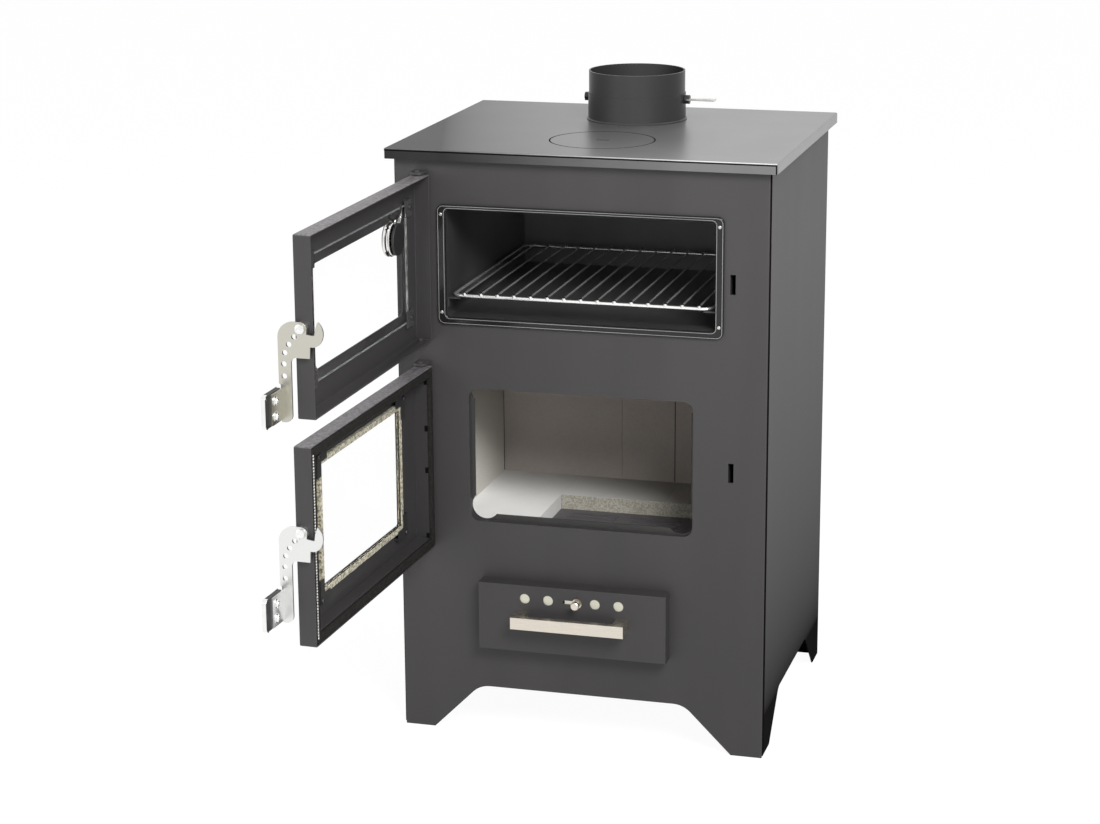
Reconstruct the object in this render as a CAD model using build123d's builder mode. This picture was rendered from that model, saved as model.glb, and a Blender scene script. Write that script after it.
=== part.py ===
from build123d import *
import math
import os

# A wood-burning stove with an oven above the firebox, both doors standing open.
# Millimetres, +Z up, +X to the right of someone facing the stove, +Y to its back.
# The origin is on the floor, under the middle of the footprint with the doors open.

os.makedirs("parts", exist_ok=True)

# Casing
body_width = 450.0
body_depth = 378.0
body_height = 720.0
front_y = 24.0
casing_sheet = 1.5
front_sheet = 2.0
edge_round = 1.5
seam_gap = 4.5
seam_step = 4.0
corner_flange = 18.0
front_foot = 38.0
front_arch_height = 59.0
front_arch_run = 59.0
front_arch_round = 30.0
side_front_foot = 47.0
side_back_foot = 38.0
side_arch_height = 54.0
side_arch_run = 56.0
side_arch_round = 20.0

# Hob
hob_sheet = 4.0
hob_overhang = 10.0
hob_back_overhang = 8.0
hob_skirt = 12.5
hob_skirt_sheet = 3.0
hob_corner_slit = 1.2
hob_corner_round = 3.0
lid_diameter = 124.0
lid_gap = 0.6
lid_setback = 107.0
lid_boss_depth = 4.0
lid_slot_length = 17.0
lid_slot_width = 6.0
lid_slot_depth = 2.5
seat_ring_sheet = 3.0
seat_ring_ledge = 7.0
seat_ring_border = 8.0

# Flue and damper
flue_diameter = 120.0
flue_wall = 2.0
flue_height = 61.0
flue_setback = 279.0
flue_bead = 1.5
flue_free_length = 28.0
flue_shoulder = 1.0
flue_bead_height = 2.5
damper_height = 26.0
shaft_diameter = 8.0
shaft_clearance = 0.08
damper_gap = 3.0
damper_side_gap = 0.5
damper_sheet = 2.0
damper_boss = 11.0
damper_boss_length = 6.0
damper_nut_size = 10.0
damper_nut_length = 5.0
damper_tail = 0.5
handle_reach = 32.0
handle_root = 6.0
handle_tip = 15.0
handle_slot_depth = 4.0

# Oven
oven_side_gap = 15.0
oven_height = 130.0
oven_below_hob = 197.0
oven_depth = 330.0
oven_sheet = 1.5
oven_round = 6.0
rim_side = 10.0
rim_bottom = 8.5
rim_top = 5.5
rim_proud = 4.0
rim_round = 8.0
rim_edge_round = 1.2
runner_width = 15.0
runner_leg = 12.0
runner_sheet = 1.5
rack_drop = 0.3
rack_rise = 25.0
rack_side_gap = 3.5
rack_length = 310.0
rack_setback = 4.0
rack_wire = 4.0
rack_bar = 2.6
rack_bars = 15
rack_end_gap = 16.7
rack_round = 12.0

# Firebox
fire_opening_border = 40.5
fire_opening_bottom = 271.0
fire_to_oven = 86.5
fire_opening_round = 12.0
fire_opening_return = 10.0
frame_side_lip = 4.0
frame_bottom_lip = 7.0
frame_relief_radius = 17.0
frame_relief_inset = 16.5
frame_relief_low = 17.5
frame_relief_high = 4.5
frame_top_rise = 2.0
frame_border_low = 56.0
frame_border_high = 68.5
shell_side_gap = 47.0
shell_depth = 350.0
shell_sheet = 2.0
board = 16.0
board_gap = 0.4
board_above_opening = 23.5
back_board_setback = 225.0
back_board = 25.0
back_joint_left = -5.0
back_joint_right = 64.0
floor_brick_drop = 2.0
floor_brick = 30.0
left_brick_edge = -62.0
right_brick_edge = 140.0
back_brick_setback = 138.0
back_brick_joint = 70.0
baffle_thickness = 20.0
baffle_front_gap = 90.0
deck_sheet = 3.0
grate_thickness = 12.0
grate_ledge = 10.0
grate_gap = 0.5
grate_slot_width = 6.5
grate_slot_pitch = 13.0
grate_rows = 8
grate_bar = 16.0
grate_slot_length = 64.0
base_top = 121.0

# Doors
door_border_left = 27.0
door_border_right = 47.0
door_depth = 20.0
door_sheet = 1.5
door_round = 2.0
door_edge_round = 0.8
door_gap = 1.5
pivot_inset = 5.5
pivot_out = 14.5
oven_door_lap_low = 28.5
oven_door_lap_high = 41.5
oven_door_angle = 91.0
oven_window_border = 50.0
oven_window_rail = 42.0
oven_window_round = 8.0
fire_door_lap_low = 33.0
fire_door_lap_high = 27.5
fire_door_angle = 92.0
fire_window_left = 78.0
fire_window_right_border = 62.0
fire_window_rail_low = 48.5
fire_window_rail_high = 37.0
fire_window_round = 3.0
glass_thickness = 3.0
oven_glass_lap = 12.0
tape_border = 1.0
tape_width = 6.5
tape_wall = 0.8

# Hinges
pin_diameter = 5.0
pin_clearance = 0.08
pin_head = 7.0
pin_head_height = 2.0
pin_tail = 2.5
lug_sheet = 3.0
lug_width = 16.0
washer_thickness = 1.0
washer_diameter = 11.0

# Glass clips
clip_sheet = 1.5
oven_clip_width = 20.0
oven_clip_reach = 22.0
oven_clip_lap = 7.0
oven_clip_below = 6.0
fire_clip_leg = 28.0
fire_clip_border = 9.0
fire_clip_lap = 2.5
fire_clip_foot = 3.0

# Rope seal of the firebox door
channel_width = 13.0
channel_sheet = 1.5
channel_height = 15.5
channel_base = 9.3
rope_side_gap = 0.5
rope_height = 8.7
rope_round = 3.0
channel_slot_width = 3.0
channel_slot_height = 7.0
channel_slot_shares = (0.075, 0.44, 0.67, 0.925)

# Thermometer
thermo_from_hinge = 72.0
thermo_below_window_top = 22.0
thermo_radius = 20.5
thermo_proud = 8.0
thermo_back_radius = 19.0
thermo_back_thickness = 3.0
thermo_stem_radius = 5.0
thermo_hole_gap = 0.5
thermo_dial_depth = 2.0

# Latches
latch_sheet = 2.5
latch_spacer = 4.0
latch_pivot_depth = 8.2
latch_pivot_hole = 8.0
latch_screw_head = 11.0
latch_screw_height = 2.5
latch_spacer_diameter = 14.0
oven_latch_height = 100.8
fire_latch_height = 131.3
latch_slot_width = 6.4
latch_slot_height = 23.5
latch_slot_drop = 3.8
latch_head_radius = 7.0
latch_back = 26.0
latch_back_radius = 17.4
latch_claw_shift = 2.2
latch_neck_edge = 10.0
latch_neck_drop = 32.0
latch_stem_edge = 11.4
latch_stem_round = 6.0
latch_length = 103.2
latch_foot_round = 8.2
latch_waist_drop = 60.5
latch_waist = 2.0
latch_hole = 6.0
latch_hole_places = ((-7.2, -9.3), (-13.5, -17.8), (-18.3, -27.1), (-19.6, -39.4), (-19.6, -52.6))
grip_length = 44.0
grip_height = 38.0
grip_top = 64.0
grip_pad = 4.0
grip_cover = 1.0
grip_gap = 2.0
grip_tab_sheet = 2.0
grip_tab_drop = 2.0
grip_tab_length = 30.0
grip_tab_height = 34.0

# Ash drawer
drawer_center = -6.0
drawer_width = 233.0
drawer_drop = 5.0
drawer_height = 84.5
drawer_proud = 20.0
drawer_sheet = 1.5
vent_rise = 67.5
vent_diameter = 12.5
vent_pitch = 29.1
vent_slot_width = 5.0
vent_slot_length = 20.5
tray_side_gap = 12.5
tray_height = 48.0
tray_length = 250.0
tray_sheet = 1.2
drawer_opening_gap = 2.0
drawer_opening_rise = 80.0
slider_height = 20.0
slider_sheet = 1.2
slider_end = 12.0
guide_lip = 2.0
guide_gap = 0.3
guide_bar = 4.0
stem_diameter = 4.0
knob_diameter = 10.0
knob_reach = 15.0
knob_washer = 12.0
knob_washer_height = 1.5
knob_head_length = 6.0
bar_length = 140.0
bar_rise = 36.0
bar_height = 15.0
bar_thickness = 8.0
bar_reach = 24.0
bar_post = 15.0
drawer_guide_height = 12.0

# Places worked out from the sizes above
half_width = body_width / 2
shell_width = body_width - 2 * shell_side_gap
oven_width = shell_width - 2 * oven_side_gap
oven_floor = body_height - oven_below_hob
rack_z = oven_floor + rack_rise
rack_width = oven_width - 2 * rack_side_gap
rack_pitch = (rack_width - 2 * rack_end_gap) / (rack_bars - 1)
fire_opening_width = shell_width - 2 * fire_opening_border
fire_opening_top = oven_floor - fire_to_oven
fire_opening_height = fire_opening_top - fire_opening_bottom
frame_bottom = fire_opening_bottom - frame_border_low
frame_top = fire_opening_top + frame_border_high
board_top = fire_opening_top + board_above_opening
floor_brick_top = fire_opening_bottom - floor_brick_drop
door_left = door_border_left - half_width
door_width = body_width - door_border_left - door_border_right
oven_door_bottom = oven_floor - oven_door_lap_low
oven_door_height = oven_height + oven_door_lap_low + oven_door_lap_high
fire_door_bottom = fire_opening_bottom - fire_door_lap_low
fire_door_height = fire_opening_height + fire_door_lap_low + fire_door_lap_high
drawer_bottom = base_top - drawer_drop
vent_height = drawer_bottom + vent_rise
tray_width = drawer_width - 2 * tray_side_gap
drawer_opening_top = drawer_bottom + drawer_opening_rise
bar_bottom = drawer_bottom + bar_rise
back_y = front_y + body_depth
hob_top = body_height + hob_sheet
side_inner = half_width - casing_sheet
seam_y = front_y + front_sheet + seam_gap
step_x = half_width - seam_step
flange_y = front_y + front_sheet
shell_half = shell_width / 2
shell_back = front_y + shell_depth
board_inner = shell_half - board
fire_center_z = fire_opening_bottom + fire_opening_height / 2
frame_y = front_y + fire_opening_return
deck_y = frame_y + shell_sheet
brick_front = deck_y + board_gap
oven_center_z = oven_floor + oven_height / 2
drawer_face_y = front_y - drawer_proud
drawer_inner_y = drawer_face_y + drawer_sheet
latch_slot_x = door_left + door_width + latch_spacer + latch_sheet / 2
oven_latch_z = oven_door_bottom + oven_latch_height
fire_latch_z = fire_door_bottom + fire_latch_height
pivot_to_face = door_gap + door_depth - pivot_out
pivot = Vector(door_left + pivot_inset, front_y - pivot_out, 0)
up = Vector(0, 0, 1)


def front_plane(y):
    """Upright plane at the given depth, its local axes along X and Z, facing the front."""
    return Plane.XZ.offset(-y)


def door_directions(angle):
    """Directions along the door from its hinge, and out of its outer face."""
    turn = math.radians(angle)
    along = Vector(math.cos(turn), -math.sin(turn), 0)
    outward = Vector(-math.sin(turn), -math.cos(turn), 0)
    return along, outward


def door_corner(angle):
    """Foot of the door's hinge edge on its outer face, at floor level."""
    along, outward = door_directions(angle)
    return pivot - along * pivot_inset + outward * pivot_to_face


def door_plane(angle, depth):
    """Plane parallel to the door, the given depth behind its outer face; X from the hinge edge."""
    along, outward = door_directions(angle)
    return Plane(door_corner(angle) - outward * depth, x_dir=along, z_dir=outward)


def edge_plane(angle, beyond, depth, height):
    """Plane across the door, beyond its free edge; X runs inward and Y up from the given point."""
    along, outward = door_directions(angle)
    start = door_corner(angle) + along * (door_width + beyond) - outward * depth + up * height
    return Plane(start, x_dir=outward * -1, z_dir=along)


def arch_points(left, right, run, height):
    """Corners of a foot cut-out with sloped ends, from the left foot to the right one."""
    return [(left, -1), (left, 0), (left + run, height), (right - run, height), (right, 0), (right, -1)]


# Front panel
front_arch = arch_points(front_foot - half_width, half_width - front_foot, front_arch_run, front_arch_height)
with BuildPart() as front_panel:
    with BuildSketch(front_plane(front_y)):
        with Locations((0, body_height / 2)):
            Rectangle(body_width, body_height)
    extrude(amount=-front_sheet)
    fillet(front_panel.edges().filter_by(Axis.Z).filter_by_position(Axis.Y, front_y, front_y), edge_round)
    with BuildSketch(front_plane(front_y)):
        with Locations((0, fire_center_z)):
            RectangleRounded(
                fire_opening_width + 2 * front_sheet,
                fire_opening_height + 2 * front_sheet,
                fire_opening_round + front_sheet,
            )
    extrude(amount=-fire_opening_return)
    with BuildSketch(front_plane(front_y)) as openings:
        with Locations((0, fire_center_z)):
            RectangleRounded(fire_opening_width, fire_opening_height, fire_opening_round)
        with Locations((0, oven_center_z)):
            RectangleRounded(
                oven_width + 2 * oven_sheet + 1, oven_height + 2 * oven_sheet + 1, oven_round
            )
        with Locations((drawer_center, (base_top + drawer_opening_top) / 2)):
            Rectangle(tray_width + 2 * drawer_opening_gap, drawer_opening_top - base_top)
        for top in (oven_latch_z, fire_latch_z):
            with Locations((latch_slot_x, top - latch_slot_drop - latch_slot_height / 2)):
                Rectangle(latch_slot_width, latch_slot_height)
    extrude(openings.sketch, amount=-fire_opening_return, mode=Mode.SUBTRACT)
    with BuildSketch(front_plane(front_y)) as foot_cut:
        with BuildLine():
            Polyline(*front_arch, close=True)
        make_face()
        fillet(foot_cut.vertices().group_by(Axis.Y)[-1], front_arch_round)
    extrude(foot_cut.sketch, amount=-front_sheet, mode=Mode.SUBTRACT)
front_panel.part.label = "front_panel"
export_step(front_panel.part, "parts/front_panel.step")

# Side panels, each folded to a shadow groove behind the front panel
side_arch = arch_points(
    front_y + side_front_foot, back_y - side_back_foot, side_arch_run, side_arch_height
)
for side, name in ((-1, "left_side_panel"), (1, "right_side_panel")):
    with BuildPart() as side_panel:
        with BuildSketch(Plane.XY):
            with Locations((side * (half_width - casing_sheet / 2), (seam_y + back_y) / 2)):
                Rectangle(casing_sheet, back_y - seam_y)
            fold = seam_step + casing_sheet
            with Locations((side * (half_width - fold / 2), seam_y + casing_sheet / 2)):
                Rectangle(fold, casing_sheet)
            with Locations((side * (step_x - casing_sheet / 2), (flange_y + seam_y + casing_sheet) / 2)):
                Rectangle(casing_sheet, seam_y + casing_sheet - flange_y)
            with Locations((side * (step_x - corner_flange / 2), flange_y + casing_sheet / 2)):
                Rectangle(corner_flange, casing_sheet)
            with Locations((side * (half_width - corner_flange / 2), back_y - casing_sheet / 2)):
                Rectangle(corner_flange, casing_sheet)
        extrude(amount=body_height)
        with BuildSketch(Plane.YZ.offset(side * half_width)) as foot_cut:
            with BuildLine():
                Polyline(*side_arch, close=True)
            make_face()
            fillet(foot_cut.vertices().group_by(Axis.Y)[-1], side_arch_round)
        extrude(foot_cut.sketch, amount=-side * 2 * casing_sheet, mode=Mode.SUBTRACT)
    side_panel.part.label = name
    export_step(side_panel.part, f"parts/{name}.step")

# Back panel, with the same foot cut-out as the front
with BuildPart() as back_panel:
    with BuildSketch(front_plane(back_y - 2 * casing_sheet)):
        with Locations((0, body_height / 2)):
            Rectangle(2 * side_inner, body_height)
    extrude(amount=-casing_sheet)
    with BuildSketch(front_plane(back_y - 2 * casing_sheet)) as foot_cut:
        with BuildLine():
            Polyline(*front_arch, close=True)
        make_face()
        fillet(foot_cut.vertices().group_by(Axis.Y)[-1], front_arch_round)
    extrude(foot_cut.sketch, amount=-casing_sheet, mode=Mode.SUBTRACT)
back_panel.part.label = "back_panel"
export_step(back_panel.part, "parts/back_panel.step")

# Base plate under the ash chamber
with BuildPart() as base_plate:
    with BuildSketch(Plane.XY.offset(base_top - casing_sheet)):
        base_front = flange_y + casing_sheet
        base_back = back_y - 2 * casing_sheet
        with Locations((0, (base_front + base_back) / 2)):
            Rectangle(2 * (step_x - casing_sheet), base_back - base_front)
    extrude(amount=casing_sheet)
base_plate.part.label = "base_plate"
export_step(base_plate.part, "parts/base_plate.step")

# Hob plate with its folded skirt
hob_width = body_width + 2 * hob_overhang
hob_depth = body_depth + hob_overhang + hob_back_overhang
hob_center_y = front_y - hob_overhang + hob_depth / 2
lid_y = front_y + lid_setback
flue_y = front_y + flue_setback
flue_radius = flue_diameter / 2
flue_bore = flue_radius - flue_wall
with BuildPart() as hob_plate:
    with BuildSketch(Plane.XY.offset(hob_top - hob_skirt)):
        with Locations((0, hob_center_y)):
            RectangleRounded(hob_width, hob_depth, hob_corner_round)
    extrude(amount=hob_skirt)
    fillet(hob_plate.faces().sort_by(Axis.Z)[-1].edges(), edge_round)
    with BuildSketch(Plane.XY.offset(hob_top - hob_skirt)):
        with Locations((0, hob_center_y)):
            Rectangle(hob_width - 2 * hob_skirt_sheet, hob_depth - 2 * hob_skirt_sheet)
    extrude(amount=hob_skirt - hob_sheet, mode=Mode.SUBTRACT)
    with BuildSketch(Plane.XY.offset(hob_top - hob_skirt)):
        slit_y = front_y - hob_overhang + hob_skirt_sheet + hob_corner_slit / 2
        for side in (-1, 1):
            with Locations((side * (hob_width - hob_skirt_sheet) / 2, slit_y)):
                Rectangle(hob_skirt_sheet, hob_corner_slit)
    extrude(amount=hob_skirt - hob_sheet, mode=Mode.SUBTRACT)
    with Locations((0, lid_y, hob_top)):
        Hole(lid_diameter / 2 + lid_gap)
    with Locations((0, flue_y, hob_top)):
        Hole(flue_bore)
hob_plate.part.label = "hob_plate"
export_step(hob_plate.part, "parts/hob_plate.step")

# Ring under the hob that carries the lid
seat_bore = lid_diameter / 2 - seat_ring_ledge
with BuildPart() as hob_seat_ring:
    with BuildSketch(Plane.XY.offset(body_height - seat_ring_sheet)):
        with Locations((0, lid_y)):
            Circle(lid_diameter / 2 + seat_ring_border)
            Circle(seat_bore, mode=Mode.SUBTRACT)
    extrude(amount=seat_ring_sheet)
hob_seat_ring.part.label = "hob_seat_ring"
export_step(hob_seat_ring.part, "parts/hob_seat_ring.step")

# Cooking lid, flush with the hob, with a blind slot for the lifting hook
with BuildPart() as hob_lid:
    with BuildSketch(Plane.XY.offset(body_height)):
        with Locations((0, lid_y)):
            Circle(lid_diameter / 2)
    extrude(amount=hob_sheet)
    with BuildSketch(Plane.XY.offset(body_height)):
        with Locations((0, lid_y)):
            Circle(seat_bore - lid_gap)
    extrude(amount=-lid_boss_depth)
    with BuildSketch(Plane.XY.offset(hob_top)):
        with Locations((0, lid_y)):
            SlotOverall(lid_slot_length, lid_slot_width)
    extrude(amount=-lid_slot_depth, mode=Mode.SUBTRACT)
hob_lid.part.label = "hob_lid"
export_step(hob_lid.part, "parts/hob_lid.step")

# Flue collar, turned about its own axis, with cross holes for the damper shaft
# and a shoulder above them that stops the pipe that slides over it
shoulder_z = flue_height - flue_free_length
root_radius = flue_diameter / 2 + flue_shoulder
damper_z = hob_top + damper_height
shaft_radius = shaft_diameter / 2
with BuildPart() as flue_collar:
    with BuildSketch(Plane((0, flue_y, hob_top), x_dir=(1, 0, 0), z_dir=(0, -1, 0))):
        with BuildLine():
            Polyline(
                (flue_bore, 0),
                (root_radius + flue_bead, 0),
                (root_radius + flue_bead, flue_bead_height / 2),
                (root_radius, flue_bead_height),
                (root_radius, shoulder_z),
                (flue_radius, shoulder_z),
                (flue_radius, flue_height),
                (flue_bore, flue_height),
                close=True,
            )
        make_face()
    revolve(axis=Axis((0, flue_y, 0), (0, 0, 1)))
    with BuildSketch(Plane.YZ.offset(-2 * flue_radius)):
        with Locations((flue_y, damper_z)):
            Circle(shaft_radius + shaft_clearance)
    extrude(amount=4 * flue_radius, mode=Mode.SUBTRACT)
flue_collar.part.label = "flue_collar"
export_step(flue_collar.part, "parts/flue_collar.step")

# Damper shaft, with a flat for the disc and a slotted boss for the handle
nut_right = -root_radius - damper_side_gap
boss_left = root_radius + damper_side_gap
shaft_left = nut_right - damper_nut_length - damper_tail
disc_radius = flue_bore - damper_gap
with BuildPart() as damper_shaft:
    with BuildSketch(Plane.YZ.offset(shaft_left)):
        with Locations((flue_y, damper_z)):
            Circle(shaft_radius)
    extrude(amount=boss_left - shaft_left)
    with BuildSketch(Plane.YZ.offset(boss_left)):
        with Locations((flue_y, damper_z)):
            Circle(damper_boss / 2)
    extrude(amount=damper_boss_length)
    with BuildSketch(Plane.XY.offset(damper_z)):
        with Locations((0, flue_y)):
            Rectangle(2 * disc_radius + 1, shaft_diameter)
    extrude(amount=shaft_radius, mode=Mode.SUBTRACT)
    handle_left = boss_left + damper_boss_length - handle_slot_depth
    with BuildSketch(Plane.XY.offset(damper_z - damper_sheet / 2)):
        with Locations((handle_left + handle_slot_depth / 2, flue_y)):
            Rectangle(handle_slot_depth, damper_boss)
    extrude(amount=damper_sheet, mode=Mode.SUBTRACT)
damper_shaft.part.label = "damper_shaft"
export_step(damper_shaft.part, "parts/damper_shaft.step")

# Damper disc
with BuildPart() as damper_disc:
    with BuildSketch(Plane.XY.offset(damper_z)):
        with Locations((0, flue_y)):
            Circle(disc_radius)
    extrude(amount=damper_sheet)
damper_disc.part.label = "damper_disc"
export_step(damper_disc.part, "parts/damper_disc.step")

# Stamped damper handle, widening to its tip, with a three-cornered hole
handle_right = handle_left + handle_slot_depth + handle_reach
with BuildPart() as damper_handle:
    with BuildSketch(Plane.XY.offset(damper_z - damper_sheet / 2)):
        with BuildLine():
            Polyline(
                (handle_left, flue_y - handle_root / 2),
                (handle_left + handle_slot_depth + 2, flue_y - handle_root / 2),
                (handle_right, flue_y - handle_tip / 2),
                (handle_right, flue_y + handle_tip / 2),
                (handle_left + handle_slot_depth + 2, flue_y + handle_root / 2),
                (handle_left, flue_y + handle_root / 2),
                close=True,
            )
        make_face()
        with BuildLine():
            Polyline(
                (handle_left + handle_slot_depth + handle_reach * 0.35, flue_y),
                (handle_right - handle_reach * 0.2, flue_y - handle_tip / 4),
                (handle_right - handle_reach * 0.2, flue_y + handle_tip / 4),
                close=True,
            )
        make_face(mode=Mode.SUBTRACT)
    extrude(amount=damper_sheet)
damper_handle.part.label = "damper_handle"
export_step(damper_handle.part, "parts/damper_handle.step")

# Nut on the other end of the damper shaft
with BuildPart() as damper_nut:
    with BuildSketch(Plane.YZ.offset(nut_right - damper_nut_length)):
        with Locations((flue_y, damper_z)):
            RegularPolygon(damper_nut_size / 2, 6, major_radius=False)
            Circle(shaft_radius + shaft_clearance / 2, mode=Mode.SUBTRACT)
    extrude(amount=damper_nut_length)
damper_nut.part.label = "damper_nut"
export_step(damper_nut.part, "parts/damper_nut.step")

# Oven liner, open at the front
liner_width = oven_width + 2 * oven_sheet
liner_height = oven_height + 2 * oven_sheet
with BuildPart() as oven_liner:
    with BuildSketch(front_plane(front_y)):
        with Locations((0, oven_center_z)):
            RectangleRounded(liner_width, liner_height, oven_round)
    extrude(amount=-(oven_depth + oven_sheet))
    with BuildSketch(front_plane(front_y)):
        with Locations((0, oven_center_z)):
            RectangleRounded(oven_width, oven_height, oven_round - oven_sheet)
    extrude(amount=-oven_depth, mode=Mode.SUBTRACT)
oven_liner.part.label = "oven_liner"
export_step(oven_liner.part, "parts/oven_liner.step")

# Enamelled rim round the oven mouth
rim_height = oven_height + rim_bottom + rim_top
rim_center_z = oven_floor - rim_bottom + rim_height / 2
with BuildPart() as oven_rim:
    with BuildSketch(front_plane(front_y)):
        with Locations((0, rim_center_z)):
            RectangleRounded(oven_width + 2 * rim_side, rim_height, rim_round)
        with Locations((0, oven_center_z)):
            RectangleRounded(oven_width, oven_height, oven_round - oven_sheet, mode=Mode.SUBTRACT)
    extrude(amount=rim_proud)
    fillet(oven_rim.faces().sort_by(Axis.Y)[0].edges(), rim_edge_round)
oven_rim.part.label = "oven_rim"
export_step(oven_rim.part, "parts/oven_rim.step")

# Angle strips that carry the rack
runner_top = rack_z - rack_wire / 2 - rack_drop
runner_length = rack_length + rack_setback
with BuildPart() as rack_runners:
    for side in (-1, 1):
        with BuildSketch(front_plane(front_y + rack_setback)):
            with Locations((side * (oven_width - runner_width) / 2, runner_top - runner_sheet / 2)):
                Rectangle(runner_width, runner_sheet)
            with Locations((side * (oven_width - runner_sheet) / 2, runner_top - runner_leg / 2)):
                Rectangle(runner_sheet, runner_leg)
        extrude(amount=-runner_length)
rack_runners.part.label = "rack_runners"
export_step(rack_runners.part, "parts/rack_runners.step")

# Wire rack: a closed frame of bent wire with bars welded across it
rack_y = front_y + rack_setback + rack_length / 2
rack_x = (rack_width - rack_wire) / 2
rack_end = (rack_length - rack_wire) / 2
bar_z = rack_z + (rack_wire + rack_bar) / 2 - 0.5
with BuildPart() as oven_rack:
    with BuildLine():
        frame_line = FilletPolyline(
            (-rack_x, rack_y - rack_end, rack_z),
            (rack_x, rack_y - rack_end, rack_z),
            (rack_x, rack_y + rack_end, rack_z),
            (-rack_x, rack_y + rack_end, rack_z),
            radius=rack_round,
            close=True,
        )
    with BuildSketch(Plane(frame_line @ 0, z_dir=frame_line % 0)):
        Circle(rack_wire / 2)
    sweep(path=frame_line)
    with BuildSketch(front_plane(rack_y - rack_end - rack_wire / 4)):
        with Locations((0, bar_z)):
            with GridLocations(rack_pitch, 1, rack_bars, 1):
                Circle(rack_bar / 2)
    extrude(amount=-(2 * rack_end + rack_wire / 2))
oven_rack.part.label = "oven_rack"
export_step(oven_rack.part, "parts/oven_rack.step")

# Inner shell round the fire and the smoke path, open at the front
with BuildPart() as inner_shell:
    with BuildSketch(Plane.XY.offset(base_top)):
        for side in (-1, 1):
            with Locations((side * (shell_half + shell_sheet / 2), (flange_y + shell_back) / 2)):
                Rectangle(shell_sheet, shell_back - flange_y)
        with Locations((0, shell_back + shell_sheet / 2)):
            Rectangle(shell_width + 2 * shell_sheet, shell_sheet)
    extrude(amount=body_height - base_top)
inner_shell.part.label = "inner_shell"
export_step(inner_shell.part, "parts/inner_shell.step")

# Set-back plate behind the firebox opening, with relief corners
frame_half = fire_opening_width / 2 - frame_side_lip
frame_low = fire_opening_bottom + frame_bottom_lip
frame_high = fire_opening_top + frame_top_rise
relief_low = fire_opening_bottom + frame_relief_low
relief_high = fire_opening_top - frame_relief_high
relief_x = fire_opening_width - 2 * frame_relief_inset
with BuildPart() as firebox_frame:
    with BuildSketch(front_plane(frame_y)):
        with Locations((0, (frame_bottom + frame_top) / 2)):
            Rectangle(shell_width, frame_top - frame_bottom)
        with Locations((0, (frame_low + frame_high) / 2)):
            Rectangle(2 * frame_half, frame_high - frame_low, mode=Mode.SUBTRACT)
        with Locations((0, (relief_low + relief_high) / 2)):
            with GridLocations(relief_x, relief_high - relief_low, 2, 2):
                Circle(frame_relief_radius, mode=Mode.SUBTRACT)
    extrude(amount=-shell_sheet)
firebox_frame.part.label = "firebox_frame"
export_step(firebox_frame.part, "parts/firebox_frame.step")

# Deck that carries the bricks and the grate
brick_low = floor_brick_top - floor_brick
deck_low = brick_low - deck_sheet
grate_width = right_brick_edge - left_brick_edge - 2 * grate_gap
grate_length = back_brick_setback - (brick_front - front_y) - 2 * grate_gap
grate_x = (left_brick_edge + right_brick_edge) / 2
grate_y = brick_front + grate_gap + grate_length / 2
with BuildPart() as hearth_deck:
    with BuildSketch(Plane.XY.offset(deck_low)):
        with Locations((0, (deck_y + shell_back) / 2)):
            Rectangle(shell_width, shell_back - deck_y)
        with Locations((grate_x, grate_y)):
            Rectangle(grate_width - 2 * grate_ledge, grate_length - 2 * grate_ledge, mode=Mode.SUBTRACT)
    extrude(amount=deck_sheet)
hearth_deck.part.label = "hearth_deck"
export_step(hearth_deck.part, "parts/hearth_deck.step")

# Cast grate with two columns of long slots
column_pitch = grate_slot_length + grate_bar
columns_x = left_brick_edge + grate_gap + grate_bar + grate_slot_length + grate_bar / 2
with BuildPart() as grate:
    with BuildSketch(Plane.XY.offset(brick_low)):
        with Locations((grate_x, grate_y)):
            Rectangle(grate_width, grate_length)
        with Locations((columns_x, grate_y)):
            with GridLocations(column_pitch, grate_slot_pitch, 2, grate_rows):
                SlotOverall(grate_slot_length, grate_slot_width, mode=Mode.SUBTRACT)
    extrude(amount=grate_thickness)
    fillet(grate.edges().filter_by(Axis.Z).filter_by(lambda e: e.length > grate_thickness - 0.1), 1.0)
grate.part.label = "grate"
export_step(grate.part, "parts/grate.step")

# Floor bricks round the grate: left, right and two behind it
back_y_board = front_y + back_board_setback
brick_back_edge = front_y + back_brick_setback
with BuildPart() as floor_firebricks:
    with BuildSketch(Plane.XY.offset(brick_low)):
        with Locations(((left_brick_edge - board_inner) / 2, (brick_front + back_y_board) / 2)):
            Rectangle(board_inner + left_brick_edge, back_y_board - brick_front)
        with Locations(((right_brick_edge + board_inner) / 2, (brick_front + brick_back_edge) / 2)):
            Rectangle(board_inner - right_brick_edge, brick_back_edge - brick_front)
        rear_left = left_brick_edge + board_gap
        rear_low = brick_back_edge + board_gap
        with Locations(((rear_left + back_brick_joint) / 2, (rear_low + back_y_board) / 2)):
            Rectangle(back_brick_joint - rear_left, back_y_board - rear_low)
        rear_right = back_brick_joint + board_gap
        with Locations(((rear_right + board_inner) / 2, (rear_low + back_y_board) / 2)):
            Rectangle(board_inner - rear_right, back_y_board - rear_low)
    extrude(amount=floor_brick)
floor_firebricks.part.label = "floor_firebricks"
export_step(floor_firebricks.part, "parts/floor_firebricks.step")

# Side boards of the firebox
board_back = back_y_board + back_board
for side, name in ((-1, "left_firebrick"), (1, "right_firebrick")):
    with BuildPart() as side_board:
        with BuildSketch(Plane.XY.offset(brick_low)):
            with Locations((side * (shell_half - board / 2), (brick_front + board_back) / 2)):
                Rectangle(board, board_back - brick_front)
        extrude(amount=board_top - brick_low)
    side_board.part.label = name
    export_step(side_board.part, f"parts/{name}.step")

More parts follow.
